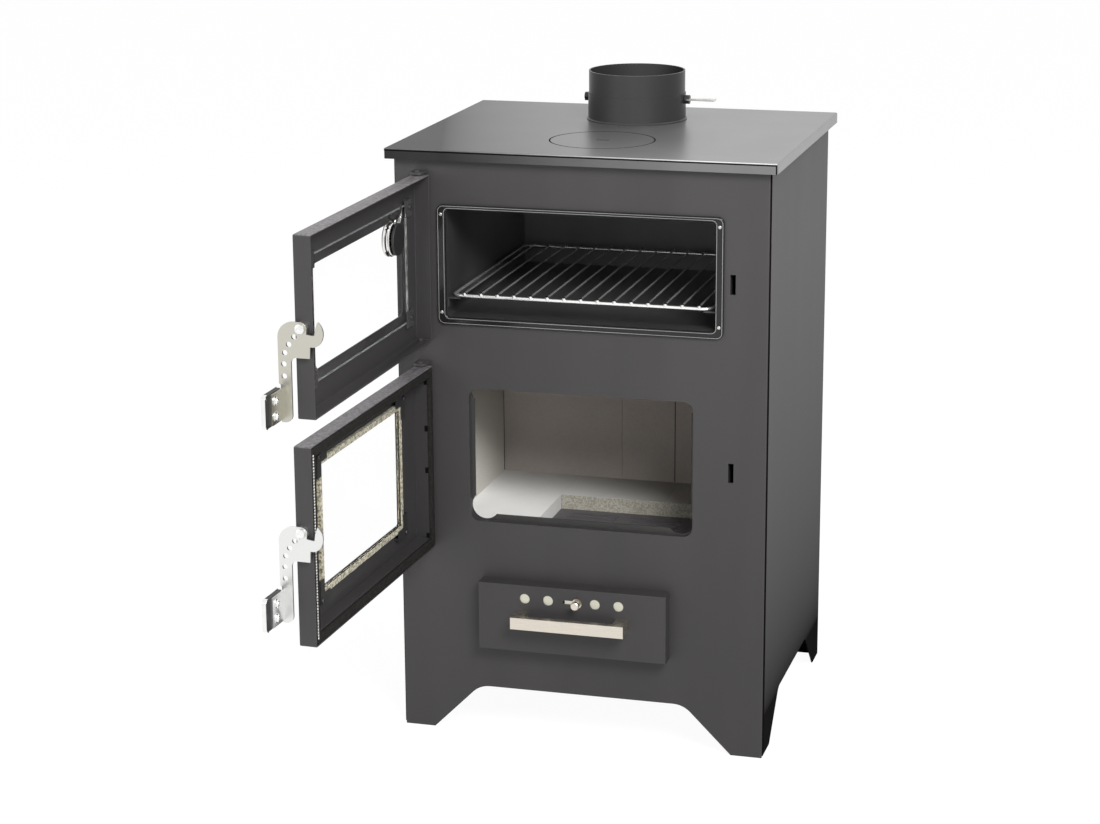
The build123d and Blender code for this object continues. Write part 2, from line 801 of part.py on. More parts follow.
# Back boards of the firebox, butted side by side
joints = (-board_inner, back_joint_left, back_joint_right, board_inner)
with BuildPart() as back_firebricks:
    with BuildSketch(Plane.XY.offset(brick_low)):
        for low, high in zip(joints[:-1], joints[1:]):
            with Locations(((low + high) / 2, back_y_board + back_board / 2)):
                Rectangle(high - low - board_gap, back_board)
    extrude(amount=board_top - brick_low)
back_firebricks.part.label = "back_firebricks"
export_step(back_firebricks.part, "parts/back_firebricks.step")

# Plate that backs the boards and closes the firebox from the smoke path
with BuildPart() as brick_back_plate:
    with BuildSketch(front_plane(board_back)):
        with Locations((0, (brick_low + board_top) / 2)):
            Rectangle(shell_width, board_top - brick_low)
    extrude(amount=-shell_sheet)
brick_back_plate.part.label = "brick_back_plate"
export_step(brick_back_plate.part, "parts/brick_back_plate.step")

# Baffle that lies on the boards and leaves the smoke a way up at the front
baffle_front = front_y + baffle_front_gap
baffle_back = board_back + shell_sheet
with BuildPart() as baffle:
    with BuildSketch(Plane.XY.offset(board_top)):
        with Locations((0, (baffle_front + baffle_back) / 2)):
            Rectangle(shell_width, baffle_back - baffle_front)
    extrude(amount=baffle_thickness)
baffle.part.label = "baffle"
export_step(baffle.part, "parts/baffle.step")


def make_tray(name, angle, low, height, window, window_round):
    """Folded door tray with a window, and pin holes through its top and bottom flanges."""
    left, right, bottom, top = window
    along, outward = door_directions(angle)
    with BuildPart() as tray:
        with BuildSketch(door_plane(angle, 0)):
            with Locations((door_width / 2, low + height / 2)):
                RectangleRounded(door_width, height, door_round)
        extrude(amount=-door_depth)
        outer_face = tray.faces().sort_by(Axis(door_corner(angle), outward))[-1]
        fillet(outer_face.edges(), door_edge_round)
        with BuildSketch(door_plane(angle, door_sheet)):
            with Locations((door_width / 2, low + height / 2)):
                Rectangle(door_width - 2 * door_sheet, height - 2 * door_sheet)
        extrude(amount=-door_depth, mode=Mode.SUBTRACT)
        with BuildSketch(door_plane(angle, 0)):
            with Locations(((left + right) / 2, (bottom + top) / 2)):
                RectangleRounded(right - left, top - bottom, window_round)
        extrude(amount=-door_sheet, mode=Mode.SUBTRACT)
        with BuildSketch(Plane.XY.offset(low)):
            with Locations((pivot.X, pivot.Y)):
                Circle(pin_diameter / 2 + pin_clearance)
        extrude(amount=height, mode=Mode.SUBTRACT)
    tray.part.label = name
    export_step(tray.part, f"parts/{name}.step")


oven_window = (
    oven_window_border,
    door_width - oven_window_border,
    oven_door_bottom + oven_window_rail,
    oven_door_bottom + oven_door_height - oven_window_rail,
)
fire_window = (
    fire_window_left,
    door_width - fire_window_right_border,
    fire_door_bottom + fire_window_rail_low,
    fire_door_bottom + fire_door_height - fire_window_rail_high,
)
make_tray(
    "oven_door_frame", oven_door_angle, oven_door_bottom, oven_door_height, oven_window, oven_window_round
)
make_tray(
    "fire_door_frame", fire_door_angle, fire_door_bottom, fire_door_height, fire_window, fire_window_round
)

# Thermometer place on the oven door, and a plane that holds its axis
oven_along, oven_outward = door_directions(oven_door_angle)
thermo_z = oven_window[3] - thermo_below_window_top
thermo_point = door_corner(oven_door_angle) + oven_along * thermo_from_hinge + up * thermo_z
thermo_plane = Plane(thermo_point, x_dir=oven_along, z_dir=(0, 0, -1))

# Oven door glass, behind the sheet, with a hole for the thermometer
with BuildPart() as oven_glass:
    with BuildSketch(door_plane(oven_door_angle, door_sheet)):
        glass_left, glass_right, glass_low, glass_high = oven_window
        with Locations(((glass_left + glass_right) / 2, (glass_low + glass_high) / 2)):
            Rectangle(
                glass_right - glass_left + 2 * oven_glass_lap,
                glass_high - glass_low + 2 * oven_glass_lap,
            )
        with Locations((thermo_from_hinge, thermo_z)):
            Circle(thermo_stem_radius + thermo_hole_gap, mode=Mode.SUBTRACT)
    extrude(amount=-glass_thickness)
oven_glass.part.label = "oven_glass"
export_step(oven_glass.part, "parts/oven_glass.step")

# Stepped clips that hold the oven glass at its corners
clip_depth = door_sheet + glass_thickness
with BuildPart() as oven_glass_clips:
    for side, glass_edge in ((-1, glass_left - oven_glass_lap), (1, glass_right + oven_glass_lap)):
        for end, glass_end in ((-1, glass_low - oven_glass_lap), (1, glass_high + oven_glass_lap)):
            clip_z = glass_end + end * (oven_clip_below - oven_clip_width / 2)
            clip_outer = glass_edge + side * (oven_clip_reach - oven_clip_lap)
            clip_inner = glass_edge - side * oven_clip_lap
            foot_inner = glass_edge + side * board_gap
            with BuildSketch(door_plane(oven_door_angle, clip_depth)):
                with Locations(((clip_outer + clip_inner) / 2, clip_z)):
                    Rectangle(abs(clip_outer - clip_inner), oven_clip_width)
            extrude(amount=-clip_sheet)
            with BuildSketch(door_plane(oven_door_angle, door_sheet)):
                with Locations(((clip_outer + foot_inner) / 2, clip_z)):
                    Rectangle(abs(clip_outer - foot_inner), oven_clip_width)
            extrude(amount=-glass_thickness)
oven_glass_clips.part.label = "oven_glass_clips"
export_step(oven_glass_clips.part, "parts/oven_glass_clips.step")

# Thermometer case outside the glass: bezel, groove and stem in one turned piece
case_back = -door_sheet
with BuildPart() as thermometer_case:
    with BuildSketch(thermo_plane):
        with BuildLine():
            Polyline(
                (0, case_back - glass_thickness),
                (thermo_stem_radius, case_back - glass_thickness),
                (thermo_stem_radius, case_back),
                (thermo_radius - 1.5, case_back),
                (thermo_radius - 1.5, case_back + thermo_proud * 0.25),
                (thermo_radius, case_back + thermo_proud * 0.4),
                (thermo_radius - 1.5, case_back + thermo_proud * 0.6),
                (thermo_radius, case_back + thermo_proud * 0.8),
                (thermo_radius, thermo_proud - 1),
                (thermo_radius - 1, thermo_proud),
                (thermo_radius - 3, thermo_proud),
                (thermo_radius - 3, thermo_proud - thermo_dial_depth),
                (0, thermo_proud - thermo_dial_depth),
                close=True,
            )
        make_face()
    revolve(axis=Axis(thermo_point, oven_outward))
thermometer_case.part.label = "thermometer_case"
export_step(thermometer_case.part, "parts/thermometer_case.step")

# Black disc that clamps the thermometer from inside
with BuildPart() as thermometer_back:
    with BuildSketch(door_plane(oven_door_angle, clip_depth)):
        with Locations((thermo_from_hinge, thermo_z)):
            Circle(thermo_back_radius)
    extrude(amount=-thermo_back_thickness)
    inner_face = thermometer_back.faces().sort_by(Axis(thermo_point, oven_outward))[0]
    fillet(inner_face.edges(), 1.0)
thermometer_back.part.label = "thermometer_back"
export_step(thermometer_back.part, "parts/thermometer_back.step")

# Firebox door glass and the fibre tape folded round its border
tape_left = fire_window[0] - tape_border - tape_width
tape_right = fire_window[1] + tape_border + tape_width
tape_low = fire_window[2] - tape_border - tape_width
tape_high = fire_window[3] + tape_border + tape_width
tape_center = ((tape_left + tape_right) / 2, (tape_low + tape_high) / 2)
tape_size = (tape_right - tape_left, tape_high - tape_low)
tape_depth = glass_thickness + 2 * tape_wall
with BuildPart() as fire_glass:
    with BuildSketch(door_plane(fire_door_angle, door_sheet + tape_wall)):
        with Locations(tape_center):
            Rectangle(tape_size[0] - 2 * tape_wall, tape_size[1] - 2 * tape_wall)
    extrude(amount=-glass_thickness)
fire_glass.part.label = "fire_glass"
export_step(fire_glass.part, "parts/fire_glass.step")

with BuildPart() as fire_glass_tape:
    with BuildSketch(door_plane(fire_door_angle, door_sheet)):
        with Locations(tape_center):
            Rectangle(*tape_size)
            Rectangle(tape_size[0] - 2 * tape_width, tape_size[1] - 2 * tape_width, mode=Mode.SUBTRACT)
    extrude(amount=-tape_depth)
    with BuildSketch(door_plane(fire_door_angle, door_sheet + tape_wall)):
        with Locations(tape_center):
            Rectangle(tape_size[0] - 2 * tape_wall, tape_size[1] - 2 * tape_wall)
    extrude(amount=-glass_thickness, mode=Mode.SUBTRACT)
fire_glass_tape.part.label = "fire_glass_tape"
export_step(fire_glass_tape.part, "parts/fire_glass_tape.step")

# Corner clips of the firebox glass: an L over the tape with a foot down to the sheet
fire_clip_depth = door_sheet + tape_depth
with BuildPart() as fire_glass_clips:
    for side, edge_x in ((-1, tape_left), (1, tape_right)):
        for end, edge_z in ((-1, tape_low), (1, tape_high)):
            outer_x = edge_x + side * fire_clip_border
            outer_z = edge_z + end * fire_clip_border
            inner_x = edge_x - side * fire_clip_lap
            inner_z = edge_z - end * fire_clip_lap
            tip_x = outer_x - side * fire_clip_leg
            tip_z = outer_z - end * fire_clip_leg
            foot_x = edge_x + side * board_gap
            foot_z = edge_z + end * board_gap
            with BuildSketch(door_plane(fire_door_angle, fire_clip_depth)) as clip_plan:
                with BuildLine():
                    Polyline(
                        (outer_x, outer_z),
                        (tip_x, outer_z),
                        (tip_x, inner_z),
                        (inner_x, inner_z),
                        (inner_x, tip_z),
                        (outer_x, tip_z),
                        close=True,
                    )
                make_face()
            extrude(amount=-clip_sheet)
            with BuildSketch(door_plane(fire_door_angle, door_sheet)):
                with BuildLine():
                    Polyline(
                        (outer_x, outer_z),
                        (tip_x, outer_z),
                        (tip_x, outer_z - end * fire_clip_foot),
                        (outer_x - side * fire_clip_foot, outer_z - end * fire_clip_foot),
                        (outer_x - side * fire_clip_foot, tip_z),
                        (outer_x, tip_z),
                        close=True,
                    )
                make_face()
            extrude(amount=-tape_depth)
fire_glass_clips.part.label = "fire_glass_clips"
export_step(fire_glass_clips.part, "parts/fire_glass_clips.step")

# Channel that holds the rope seal along the flanges of the firebox door
door_center = (door_width / 2, fire_door_bottom + fire_door_height / 2)
inside_width = door_width - 2 * door_sheet
inside_height = fire_door_height - 2 * door_sheet
wall_width = inside_width - 2 * (channel_width - channel_sheet)
wall_height = inside_height - 2 * (channel_width - channel_sheet)
fire_along, fire_outward = door_directions(fire_door_angle)
with BuildPart() as rope_channel:
    with BuildSketch(door_plane(fire_door_angle, door_sheet)):
        with Locations(door_center):
            Rectangle(wall_width, wall_height)
            Rectangle(wall_width - 2 * channel_sheet, wall_height - 2 * channel_sheet, mode=Mode.SUBTRACT)
    extrude(amount=-channel_height)
    with BuildSketch(door_plane(fire_door_angle, door_sheet + channel_base)):
        with Locations(door_center):
            Rectangle(inside_width, inside_height)
            Rectangle(wall_width, wall_height, mode=Mode.SUBTRACT)
    extrude(amount=-channel_sheet)
    slot_x = door_sheet + channel_width - channel_sheet / 2
    slot_top_depth = door_sheet + channel_height - channel_slot_width
    with BuildSketch(door_plane(fire_door_angle, slot_top_depth)):
        for share in channel_slot_shares:
            with Locations((slot_x, fire_door_bottom + share * fire_door_height)):
                Rectangle(channel_sheet, channel_slot_height)
    extrude(amount=-channel_slot_width, mode=Mode.SUBTRACT)
rope_channel.part.label = "rope_channel"
export_step(rope_channel.part, "parts/rope_channel.step")

# Rope seal lying in the channel
rope_depth = door_sheet + channel_base + channel_sheet
rope_outer = (inside_width - 2 * rope_side_gap, inside_height - 2 * rope_side_gap)
rope_inner = (wall_width + 2 * rope_side_gap, wall_height + 2 * rope_side_gap)
with BuildPart() as rope_seal:
    with BuildSketch(door_plane(fire_door_angle, rope_depth)):
        with Locations(door_center):
            RectangleRounded(*rope_outer, rope_round)
            Rectangle(*rope_inner, mode=Mode.SUBTRACT)
    extrude(amount=-rope_height)
    rope_top = rope_seal.faces().sort_by(Axis(pivot, fire_outward))[0]
    fillet(rope_top.edges(), rope_round - 0.5)
rope_seal.part.label = "rope_seal"
export_step(rope_seal.part, "parts/rope_seal.step")


def make_lugs(name, low, high):
    """Two lugs welded to the front panel, above and below a door, bored for the hinge pins."""
    with BuildPart() as lugs:
        for bottom in (low - washer_thickness - lug_sheet, high + washer_thickness):
            with BuildSketch(Plane.XY.offset(bottom)):
                with Locations((pivot.X, pivot.Y)):
                    Circle(lug_width / 2)
                with Locations((pivot.X, front_y - pivot_out / 2)):
                    Rectangle(lug_width, pivot_out)
                with Locations((pivot.X, pivot.Y)):
                    Circle(pin_diameter / 2 + pin_clearance, mode=Mode.SUBTRACT)
            extrude(amount=lug_sheet)
    lugs.part.label = name
    export_step(lugs.part, f"parts/{name}.step")


door_spans = (
    (oven_door_bottom, oven_door_bottom + oven_door_height),
    (fire_door_bottom, fire_door_bottom + fire_door_height),
)
make_lugs("oven_hinge_lugs", *door_spans[0])
make_lugs("fire_hinge_lugs", *door_spans[1])

# Headed pins: the upper of each door goes in over its lug, the lower from inside the tray
pin_travel = door_sheet + washer_thickness + lug_sheet + pin_tail
with BuildPart() as hinge_pins:
    for low, high in door_spans:
        for head_z in (low + door_sheet, high + washer_thickness + lug_sheet):
            with BuildSketch(Plane.XY.offset(head_z)):
                with Locations((pivot.X, pivot.Y)):
                    Circle(pin_head / 2)
            extrude(amount=pin_head_height)
            with BuildSketch(Plane.XY.offset(head_z)):
                with Locations((pivot.X, pivot.Y)):
                    Circle(pin_diameter / 2)
            extrude(amount=-pin_travel)
hinge_pins.part.label = "hinge_pins"
export_step(hinge_pins.part, "parts/hinge_pins.step")

# Washers that carry the doors on their lower lugs
with BuildPart() as hinge_washers:
    for low, high in door_spans:
        with BuildSketch(Plane.XY.offset(low - washer_thickness)):
            with Locations((pivot.X, pivot.Y)):
                Circle(washer_diameter / 2)
                Circle(pin_diameter / 2 + pin_clearance, mode=Mode.SUBTRACT)
        extrude(amount=washer_thickness)
hinge_washers.part.label = "hinge_washers"
export_step(hinge_washers.part, "parts/hinge_washers.step")


def latch_outline():
    """Outline of a latch about its pivot: X runs inward through the door and Y up."""
    claw = latch_claw_shift
    back = -latch_back
    crown = back + latch_back_radius
    head = latch_head_radius
    bow = latch_back_radius * math.sqrt(0.5)
    low = head - latch_back_radius
    ThreePointArc((back, low), (crown - bow, low + bow), (crown, head))
    Line((crown, head), (0, head))
    ThreePointArc((0, head), (head * math.sqrt(0.5), head * math.sqrt(0.5)), (head, 0))
    Polyline((head, 0), (6.6, -6), (13.5 + claw, -7.3), (14.45 + claw, 0), (17.3 + claw, 8.3))
    ThreePointArc((17.3 + claw, 8.3), (23.4 + claw, -3.5), (19.5 + claw, -15.5))
    ThreePointArc((19.5 + claw, -15.5), (15.5 + claw, -18.6), (10.6 + claw / 2, -19.5))
    neck = latch_neck_edge
    stem = -latch_stem_edge
    turn = latch_stem_round
    foot = latch_foot_round
    Polyline(
        (10.6 + claw / 2, -19.5),
        (neck + 0.6, -19.5),
        (neck, -latch_neck_drop),
        (stem + turn, -latch_neck_drop),
    )
    ThreePointArc(
        (stem + turn, -latch_neck_drop),
        (stem + turn * 0.29, -latch_neck_drop - turn * 0.29),
        (stem, -latch_neck_drop - turn),
    )
    Line((stem, -latch_neck_drop - turn), (stem, foot - latch_length))
    ThreePointArc(
        (stem, foot - latch_length),
        (stem - foot * 0.29, foot * 0.29 - latch_length),
        (stem - foot, -latch_length),
    )
    waist = back + latch_waist
    Polyline(
        (stem - foot, -latch_length),
        (waist, -latch_length),
        (waist, -latch_waist_drop - latch_waist),
        (back, -latch_waist_drop),
        (back, low),
    )


def make_latch(prefix, angle, height):
    """Stamped latch lever with hook, pivot hole, pattern of holes and folded grip tab."""
    with BuildPart() as lever:
        with BuildSketch(edge_plane(angle, latch_spacer, latch_pivot_depth, height)):
            with BuildLine():
                latch_outline()
            make_face()
            Circle(latch_pivot_hole / 2 + pin_clearance, mode=Mode.SUBTRACT)
            for across, rise in latch_hole_places:
                with Locations((across, rise)):
                    Circle(latch_hole / 2, mode=Mode.SUBTRACT)
        extrude(amount=latch_sheet)
        with BuildSketch(edge_plane(angle, latch_spacer + latch_sheet, latch_pivot_depth, height)):
            tab_x = latch_waist + grip_tab_sheet / 2 - latch_back
            with Locations((tab_x, -grip_top - grip_tab_drop - grip_tab_height / 2)):
                Rectangle(grip_tab_sheet, grip_tab_height)
        extrude(amount=grip_tab_length)
    lever.part.label = f"{prefix}_latch_lever"
    export_step(lever.part, f"parts/{prefix}_latch_lever.step")

    pad_start = latch_spacer + latch_sheet + grip_gap
    pad_x = latch_waist - latch_back - grip_pad / 2
    grip_z = -grip_top - grip_height / 2
    with BuildPart() as pad:
        with BuildSketch(edge_plane(angle, pad_start, latch_pivot_depth, height)):
            with Locations((pad_x, grip_z)):
                Rectangle(grip_pad, grip_height)
        extrude(amount=grip_length - grip_gap - grip_cover)
    pad.part.label = f"{prefix}_grip_pad"
    export_step(pad.part, f"parts/{prefix}_grip_pad.step")

    with BuildPart() as cover:
        with BuildSketch(edge_plane(angle, pad_start, latch_pivot_depth, height)):
            with Locations((pad_x - (grip_pad + grip_cover) / 2, grip_z)):
                Rectangle(grip_cover, grip_height)
        extrude(amount=grip_length - grip_gap)
        lip_start = pad_start + grip_length - grip_gap - grip_cover
        with BuildSketch(edge_plane(angle, lip_start, latch_pivot_depth, height)):
            with Locations((pad_x, grip_z)):
                Rectangle(grip_pad, grip_height)
        extrude(amount=grip_cover)
    cover.part.label = f"{prefix}_grip_cover"
    export_step(cover.part, f"parts/{prefix}_grip_cover.step")

    with BuildPart() as screw:
        with BuildSketch(edge_plane(angle, 0, latch_pivot_depth, height)):
            Circle(latch_spacer_diameter / 2)
        extrude(amount=latch_spacer - 0.1)
        with BuildSketch(edge_plane(angle, latch_spacer - 0.1, latch_pivot_depth, height)):
            Circle(latch_pivot_hole / 2)
        extrude(amount=latch_sheet + 0.2)
        with BuildSketch(edge_plane(angle, latch_spacer + latch_sheet + 0.1, latch_pivot_depth, height)):
            Circle(latch_screw_head / 2)
        extrude(amount=latch_screw_height)
    screw.part.label = f"{prefix}_latch_screw"
    export_step(screw.part, f"parts/{prefix}_latch_screw.step")


make_latch("oven", oven_door_angle, oven_latch_z)
make_latch("fire", fire_door_angle, fire_latch_z)

# Ash drawer front: a folded box with four round vents and the slot of the air slider
vent_offsets = (-2 * vent_pitch, -vent_pitch, vent_pitch, 2 * vent_pitch)
drawer_middle_z = drawer_bottom + drawer_height / 2
guide_low = vent_height - slider_height / 2 - guide_gap
guide_high = vent_height + slider_height / 2 + guide_gap
slider_travel = vent_pitch / 2
slider_left = drawer_center - 2 * vent_pitch - slider_end
slider_right = drawer_center + 2 * vent_pitch + slider_travel + slider_end
guide_left = slider_left - slider_travel
with BuildPart() as drawer_front:
    with BuildSketch(front_plane(drawer_face_y)):
        with Locations((drawer_center, drawer_middle_z)):
            Rectangle(drawer_width, drawer_height)
    extrude(amount=-drawer_proud)
    fillet(drawer_front.faces().sort_by(Axis.Y)[0].edges(), door_edge_round)
    with BuildSketch(front_plane(drawer_inner_y)):
        with Locations((drawer_center, drawer_middle_z)):
            Rectangle(drawer_width - 2 * drawer_sheet, drawer_height - 2 * drawer_sheet)
    extrude(amount=-drawer_proud, mode=Mode.SUBTRACT)
    with BuildSketch(front_plane(drawer_face_y)):
        for offset_x in vent_offsets:
            with Locations((drawer_center + offset_x, vent_height)):
                Circle(vent_diameter / 2)
        with Locations((drawer_center, vent_height)):
            SlotOverall(vent_slot_length, vent_slot_width)
    extrude(amount=-drawer_sheet, mode=Mode.SUBTRACT)
    guide_x = (guide_left + slider_right) / 2
    guide_length = slider_right - guide_left
    for edge_z, away in ((guide_low, -1), (guide_high, 1)):
        with BuildSketch(front_plane(drawer_inner_y)):
            with Locations((guide_x, edge_z + away * guide_bar / 2)):
                Rectangle(guide_length, guide_bar)
        extrude(amount=-(slider_sheet + guide_gap + drawer_sheet))
        with BuildSketch(front_plane(drawer_inner_y + slider_sheet + guide_gap)):
            with Locations((guide_x, edge_z - away * guide_lip / 2)):
                Rectangle(guide_length, guide_lip)
        extrude(amount=-drawer_sheet)
drawer_front.part.label = "drawer_front"
export_step(drawer_front.part, "parts/drawer_front.step")

# Open ash tray fixed behind the drawer front
tray_back = front_y + tray_length
with BuildPart() as ash_tray:
    with BuildSketch(Plane.XY.offset(base_top)):
        with Locations((drawer_center, (drawer_inner_y + tray_back) / 2)):
            Rectangle(tray_width, tray_back - drawer_inner_y)
    extrude(amount=tray_height)
    offset(amount=-tray_sheet, openings=ash_tray.faces().sort_by(Axis.Z)[-1])
ash_tray.part.label = "ash_tray"
export_step(ash_tray.part, "parts/ash_tray.step")

# Guides on the base plate that keep the tray straight
with BuildPart() as drawer_guides:
    with BuildSketch(Plane.XY.offset(base_top)):
        for side in (-1, 1):
            guide_at = drawer_center + side * (tray_width / 2 + 1 + casing_sheet / 2)
            with Locations((guide_at, (deck_y + tray_back) / 2)):
                Rectangle(casing_sheet, tray_back - deck_y)
    extrude(amount=drawer_guide_height)
drawer_guides.part.label = "drawer_guides"
export_step(drawer_guides.part, "parts/drawer_guides.step")

# Drawer handle: a square bar on two posts
bar_front = drawer_face_y - bar_reach
with BuildPart() as drawer_handle:
    with BuildSketch(Plane.XY.offset(bar_bottom)):
        with Locations((drawer_center, bar_front + bar_thickness / 2)):
            Rectangle(bar_length, bar_thickness)
        for side in (-1, 1):
            with Locations((drawer_center + side * (bar_length - bar_post) / 2, bar_front + bar_reach / 2)):
                Rectangle(bar_post, bar_reach)
    extrude(amount=bar_height)
    fillet(drawer_handle.faces().sort_by(Axis.Y)[0].edges(), 0.8)
drawer_handle.part.label = "drawer_handle"
export_step(drawer_handle.part, "parts/drawer_handle.step")

# Air slider: a strip whose holes meet the vents when it is pushed to the left
with BuildPart() as air_slider:
    with BuildSketch(front_plane(drawer_inner_y)):
        with Locations(((slider_left + slider_right) / 2, vent_height)):
            Rectangle(slider_right - slider_left, slider_height)
        for offset_x in vent_offsets:
            with Locations((drawer_center + offset_x + slider_travel, vent_height)):
                Circle(vent_diameter / 2, mode=Mode.SUBTRACT)
    extrude(amount=-slider_sheet)
air_slider.part.label = "air_slider"
export_step(air_slider.part, "parts/air_slider.step")

# Knob of the air slider: stem through the slot, washer and head
stem_x = drawer_center + slider_travel / 2
knob_point = Vector(stem_x, drawer_inner_y, vent_height)
with BuildPart() as air_knob:
    with BuildSketch(Plane(knob_point, x_dir=(1, 0, 0), z_dir=(0, 0, 1))):
        with BuildLine():
            washer_near = -drawer_sheet - 0.3
            Polyline(
                (0, 0),
                (stem_diameter / 2, 0),
                (stem_diameter / 2, washer_near),
                (knob_washer / 2, washer_near),
                (knob_washer / 2, washer_near - knob_washer_height),
                (stem_diameter / 2, washer_near - knob_washer_height),
                (stem_diameter / 2, knob_head_length - knob_reach),
                (knob_diameter / 2, knob_head_length - knob_reach - 0.5),
                (knob_diameter / 2, 1 - knob_reach),
                (knob_diameter / 2 - 1, -knob_reach),
                (0, -knob_reach),
                close=True,
            )
        make_face()
    revolve(axis=Axis(knob_point, (0, 1, 0)))
air_knob.part.label = "air_knob"
export_step(air_knob.part, "parts/air_knob.step")
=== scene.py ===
import bpy
import bmesh
import math
from mathutils import Matrix, Vector


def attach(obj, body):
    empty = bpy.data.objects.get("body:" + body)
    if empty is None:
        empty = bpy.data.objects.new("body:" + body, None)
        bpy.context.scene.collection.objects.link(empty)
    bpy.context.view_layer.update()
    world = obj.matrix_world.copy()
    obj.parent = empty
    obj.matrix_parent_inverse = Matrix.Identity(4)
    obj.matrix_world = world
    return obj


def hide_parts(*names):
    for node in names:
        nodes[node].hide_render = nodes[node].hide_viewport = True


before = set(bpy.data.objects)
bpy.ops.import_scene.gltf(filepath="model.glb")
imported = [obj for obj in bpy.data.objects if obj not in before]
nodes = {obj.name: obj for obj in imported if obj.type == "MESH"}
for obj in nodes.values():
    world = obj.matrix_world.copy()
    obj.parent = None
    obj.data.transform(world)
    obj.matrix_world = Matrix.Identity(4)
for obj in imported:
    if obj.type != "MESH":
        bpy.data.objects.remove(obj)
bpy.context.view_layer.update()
scene = bpy.context.scene
scene.view_settings.view_transform = "Standard"

# Places repeated from the CAD source, in metres
FRONT_Y = 0.024
PIVOT = Vector((-0.1925, 0.0095, 0))
DOOR_WIDTH = 0.376
OVEN_ANGLE = 91.0
FIRE_ANGLE = 92.0
OVEN_LOW, OVEN_HIGH = 0.4945, 0.6945
FIRE_LOW, FIRE_HIGH = 0.238, 0.464
LATCH_DEPTH = 0.0082
LATCH_Z = {OVEN_ANGLE: 0.5953, FIRE_ANGLE: 0.3693}
HINGE_REACH = 0.0055
HINGE_SETBACK = 0.007
FLUE = Vector((0, 0.303, 0))
LID = Vector((0, 0.131, 0))
HOB_TOP = 0.724
UP = Vector((0, 0, 1))


def door_axes(angle):
    """Directions along an open door from its hinge, and out of its outer face."""
    t = math.radians(angle)
    along = Vector((math.cos(t), -math.sin(t), 0))
    outward = Vector((-math.sin(t), -math.cos(t), 0))
    return along, outward


def on_door(angle, u, depth, z):
    """Point on a door: u from the hinge edge, depth behind the outer face, z above the floor."""
    along, outward = door_axes(angle)
    corner = PIVOT - along * HINGE_REACH + outward * HINGE_SETBACK
    return corner + along * u - outward * depth + Vector((0, 0, z))


def on_latch(angle, beyond, across, rise):
    """Point on a hanging latch: beyond the door's free edge, across it, and above the pivot."""
    return on_door(angle, DOOR_WIDTH + beyond, LATCH_DEPTH + across, LATCH_Z[angle] + rise)


# Materials


def material(name, color, metallic=0.0, roughness=0.5, **sockets):
    """New node material: the material, its tree and its shader."""
    m = bpy.data.materials.new(name)
    m.use_nodes = True
    tree = m.node_tree
    shader = tree.nodes["Principled BSDF"]
    shader.inputs["Base Color"].default_value = (*color, 1)
    shader.inputs["Metallic"].default_value = metallic
    shader.inputs["Roughness"].default_value = roughness
    for key, value in sockets.items():
        shader.inputs[key.replace("_", " ")].default_value = value
    return m, tree, shader


def noise(tree, scale, detail=3.0, stretch=(1, 1, 1), rough=0.55):
    """Noise in the piece's own coordinates, stretched along its axes."""
    coord = tree.nodes.new("ShaderNodeTexCoord")
    mapping = tree.nodes.new("ShaderNodeMapping")
    mapping.inputs["Scale"].default_value = stretch
    tex = tree.nodes.new("ShaderNodeTexNoise")
    tex.inputs["Scale"].default_value = scale
    tex.inputs["Detail"].default_value = detail
    tex.inputs["Roughness"].default_value = rough
    tree.links.new(coord.outputs["Object"], mapping.inputs["Vector"])
    tree.links.new(mapping.outputs["Vector"], tex.inputs["Vector"])
    return tex.outputs["Fac"]


def spread(tree, fac, low, high, start=0.3, end=0.7):
    """Maps a pattern to a range of one number."""
    node = tree.nodes.new("ShaderNodeMapRange")
    node.inputs["From Min"].default_value = start
    node.inputs["From Max"].default_value = end
    node.inputs["To Min"].default_value = low
    node.inputs["To Max"].default_value = high
    tree.links.new(fac, node.inputs["Value"])
    return node.outputs["Result"]


def tint(tree, fac, dark, light, start=0.3, end=0.7):
    """Maps a pattern to a blend of two colours."""
    ramp = tree.nodes.new("ShaderNodeValToRGB")
    ramp.color_ramp.elements[0].position = start
    ramp.color_ramp.elements[0].color = (*dark, 1)
    ramp.color_ramp.elements[1].position = end
    ramp.color_ramp.elements[1].color = (*light, 1)
    tree.links.new(fac, ramp.inputs["Fac"])
    return ramp.outputs["Color"]


def blend_colors(tree, fac, a, b, mode="MIX"):
    """Mixes two colour outputs, by a number or by a pattern."""
    node = tree.nodes.new("ShaderNodeMix")
    node.data_type = "RGBA"
    node.blend_type = mode
    if isinstance(fac, float):
        node.inputs["Factor"].default_value = fac
    else:
        tree.links.new(fac, node.inputs["Factor"])
    tree.links.new(a, node.inputs["A"])
    tree.links.new(b, node.inputs["B"])
    return node.outputs["Result"]


def bump(tree, shader, height, strength, distance, under=None):
    """Adds relief to the shader's normal, on top of an earlier relief if there is one."""
    node = tree.nodes.new("ShaderNodeBump")
    node.inputs["Strength"].default_value = strength
    node.inputs["Distance"].default_value = distance
    tree.links.new(height, node.inputs["Height"])
    if under is not None:
        tree.links.new(under, node.inputs["Normal"])
    tree.links.new(node.outputs["Normal"], shader.inputs["Normal"])
    return node.outputs["Normal"]


def scaled(color, k):
    """A colour made k times as bright."""
    return tuple(min(1.0, c * k) for c in color)


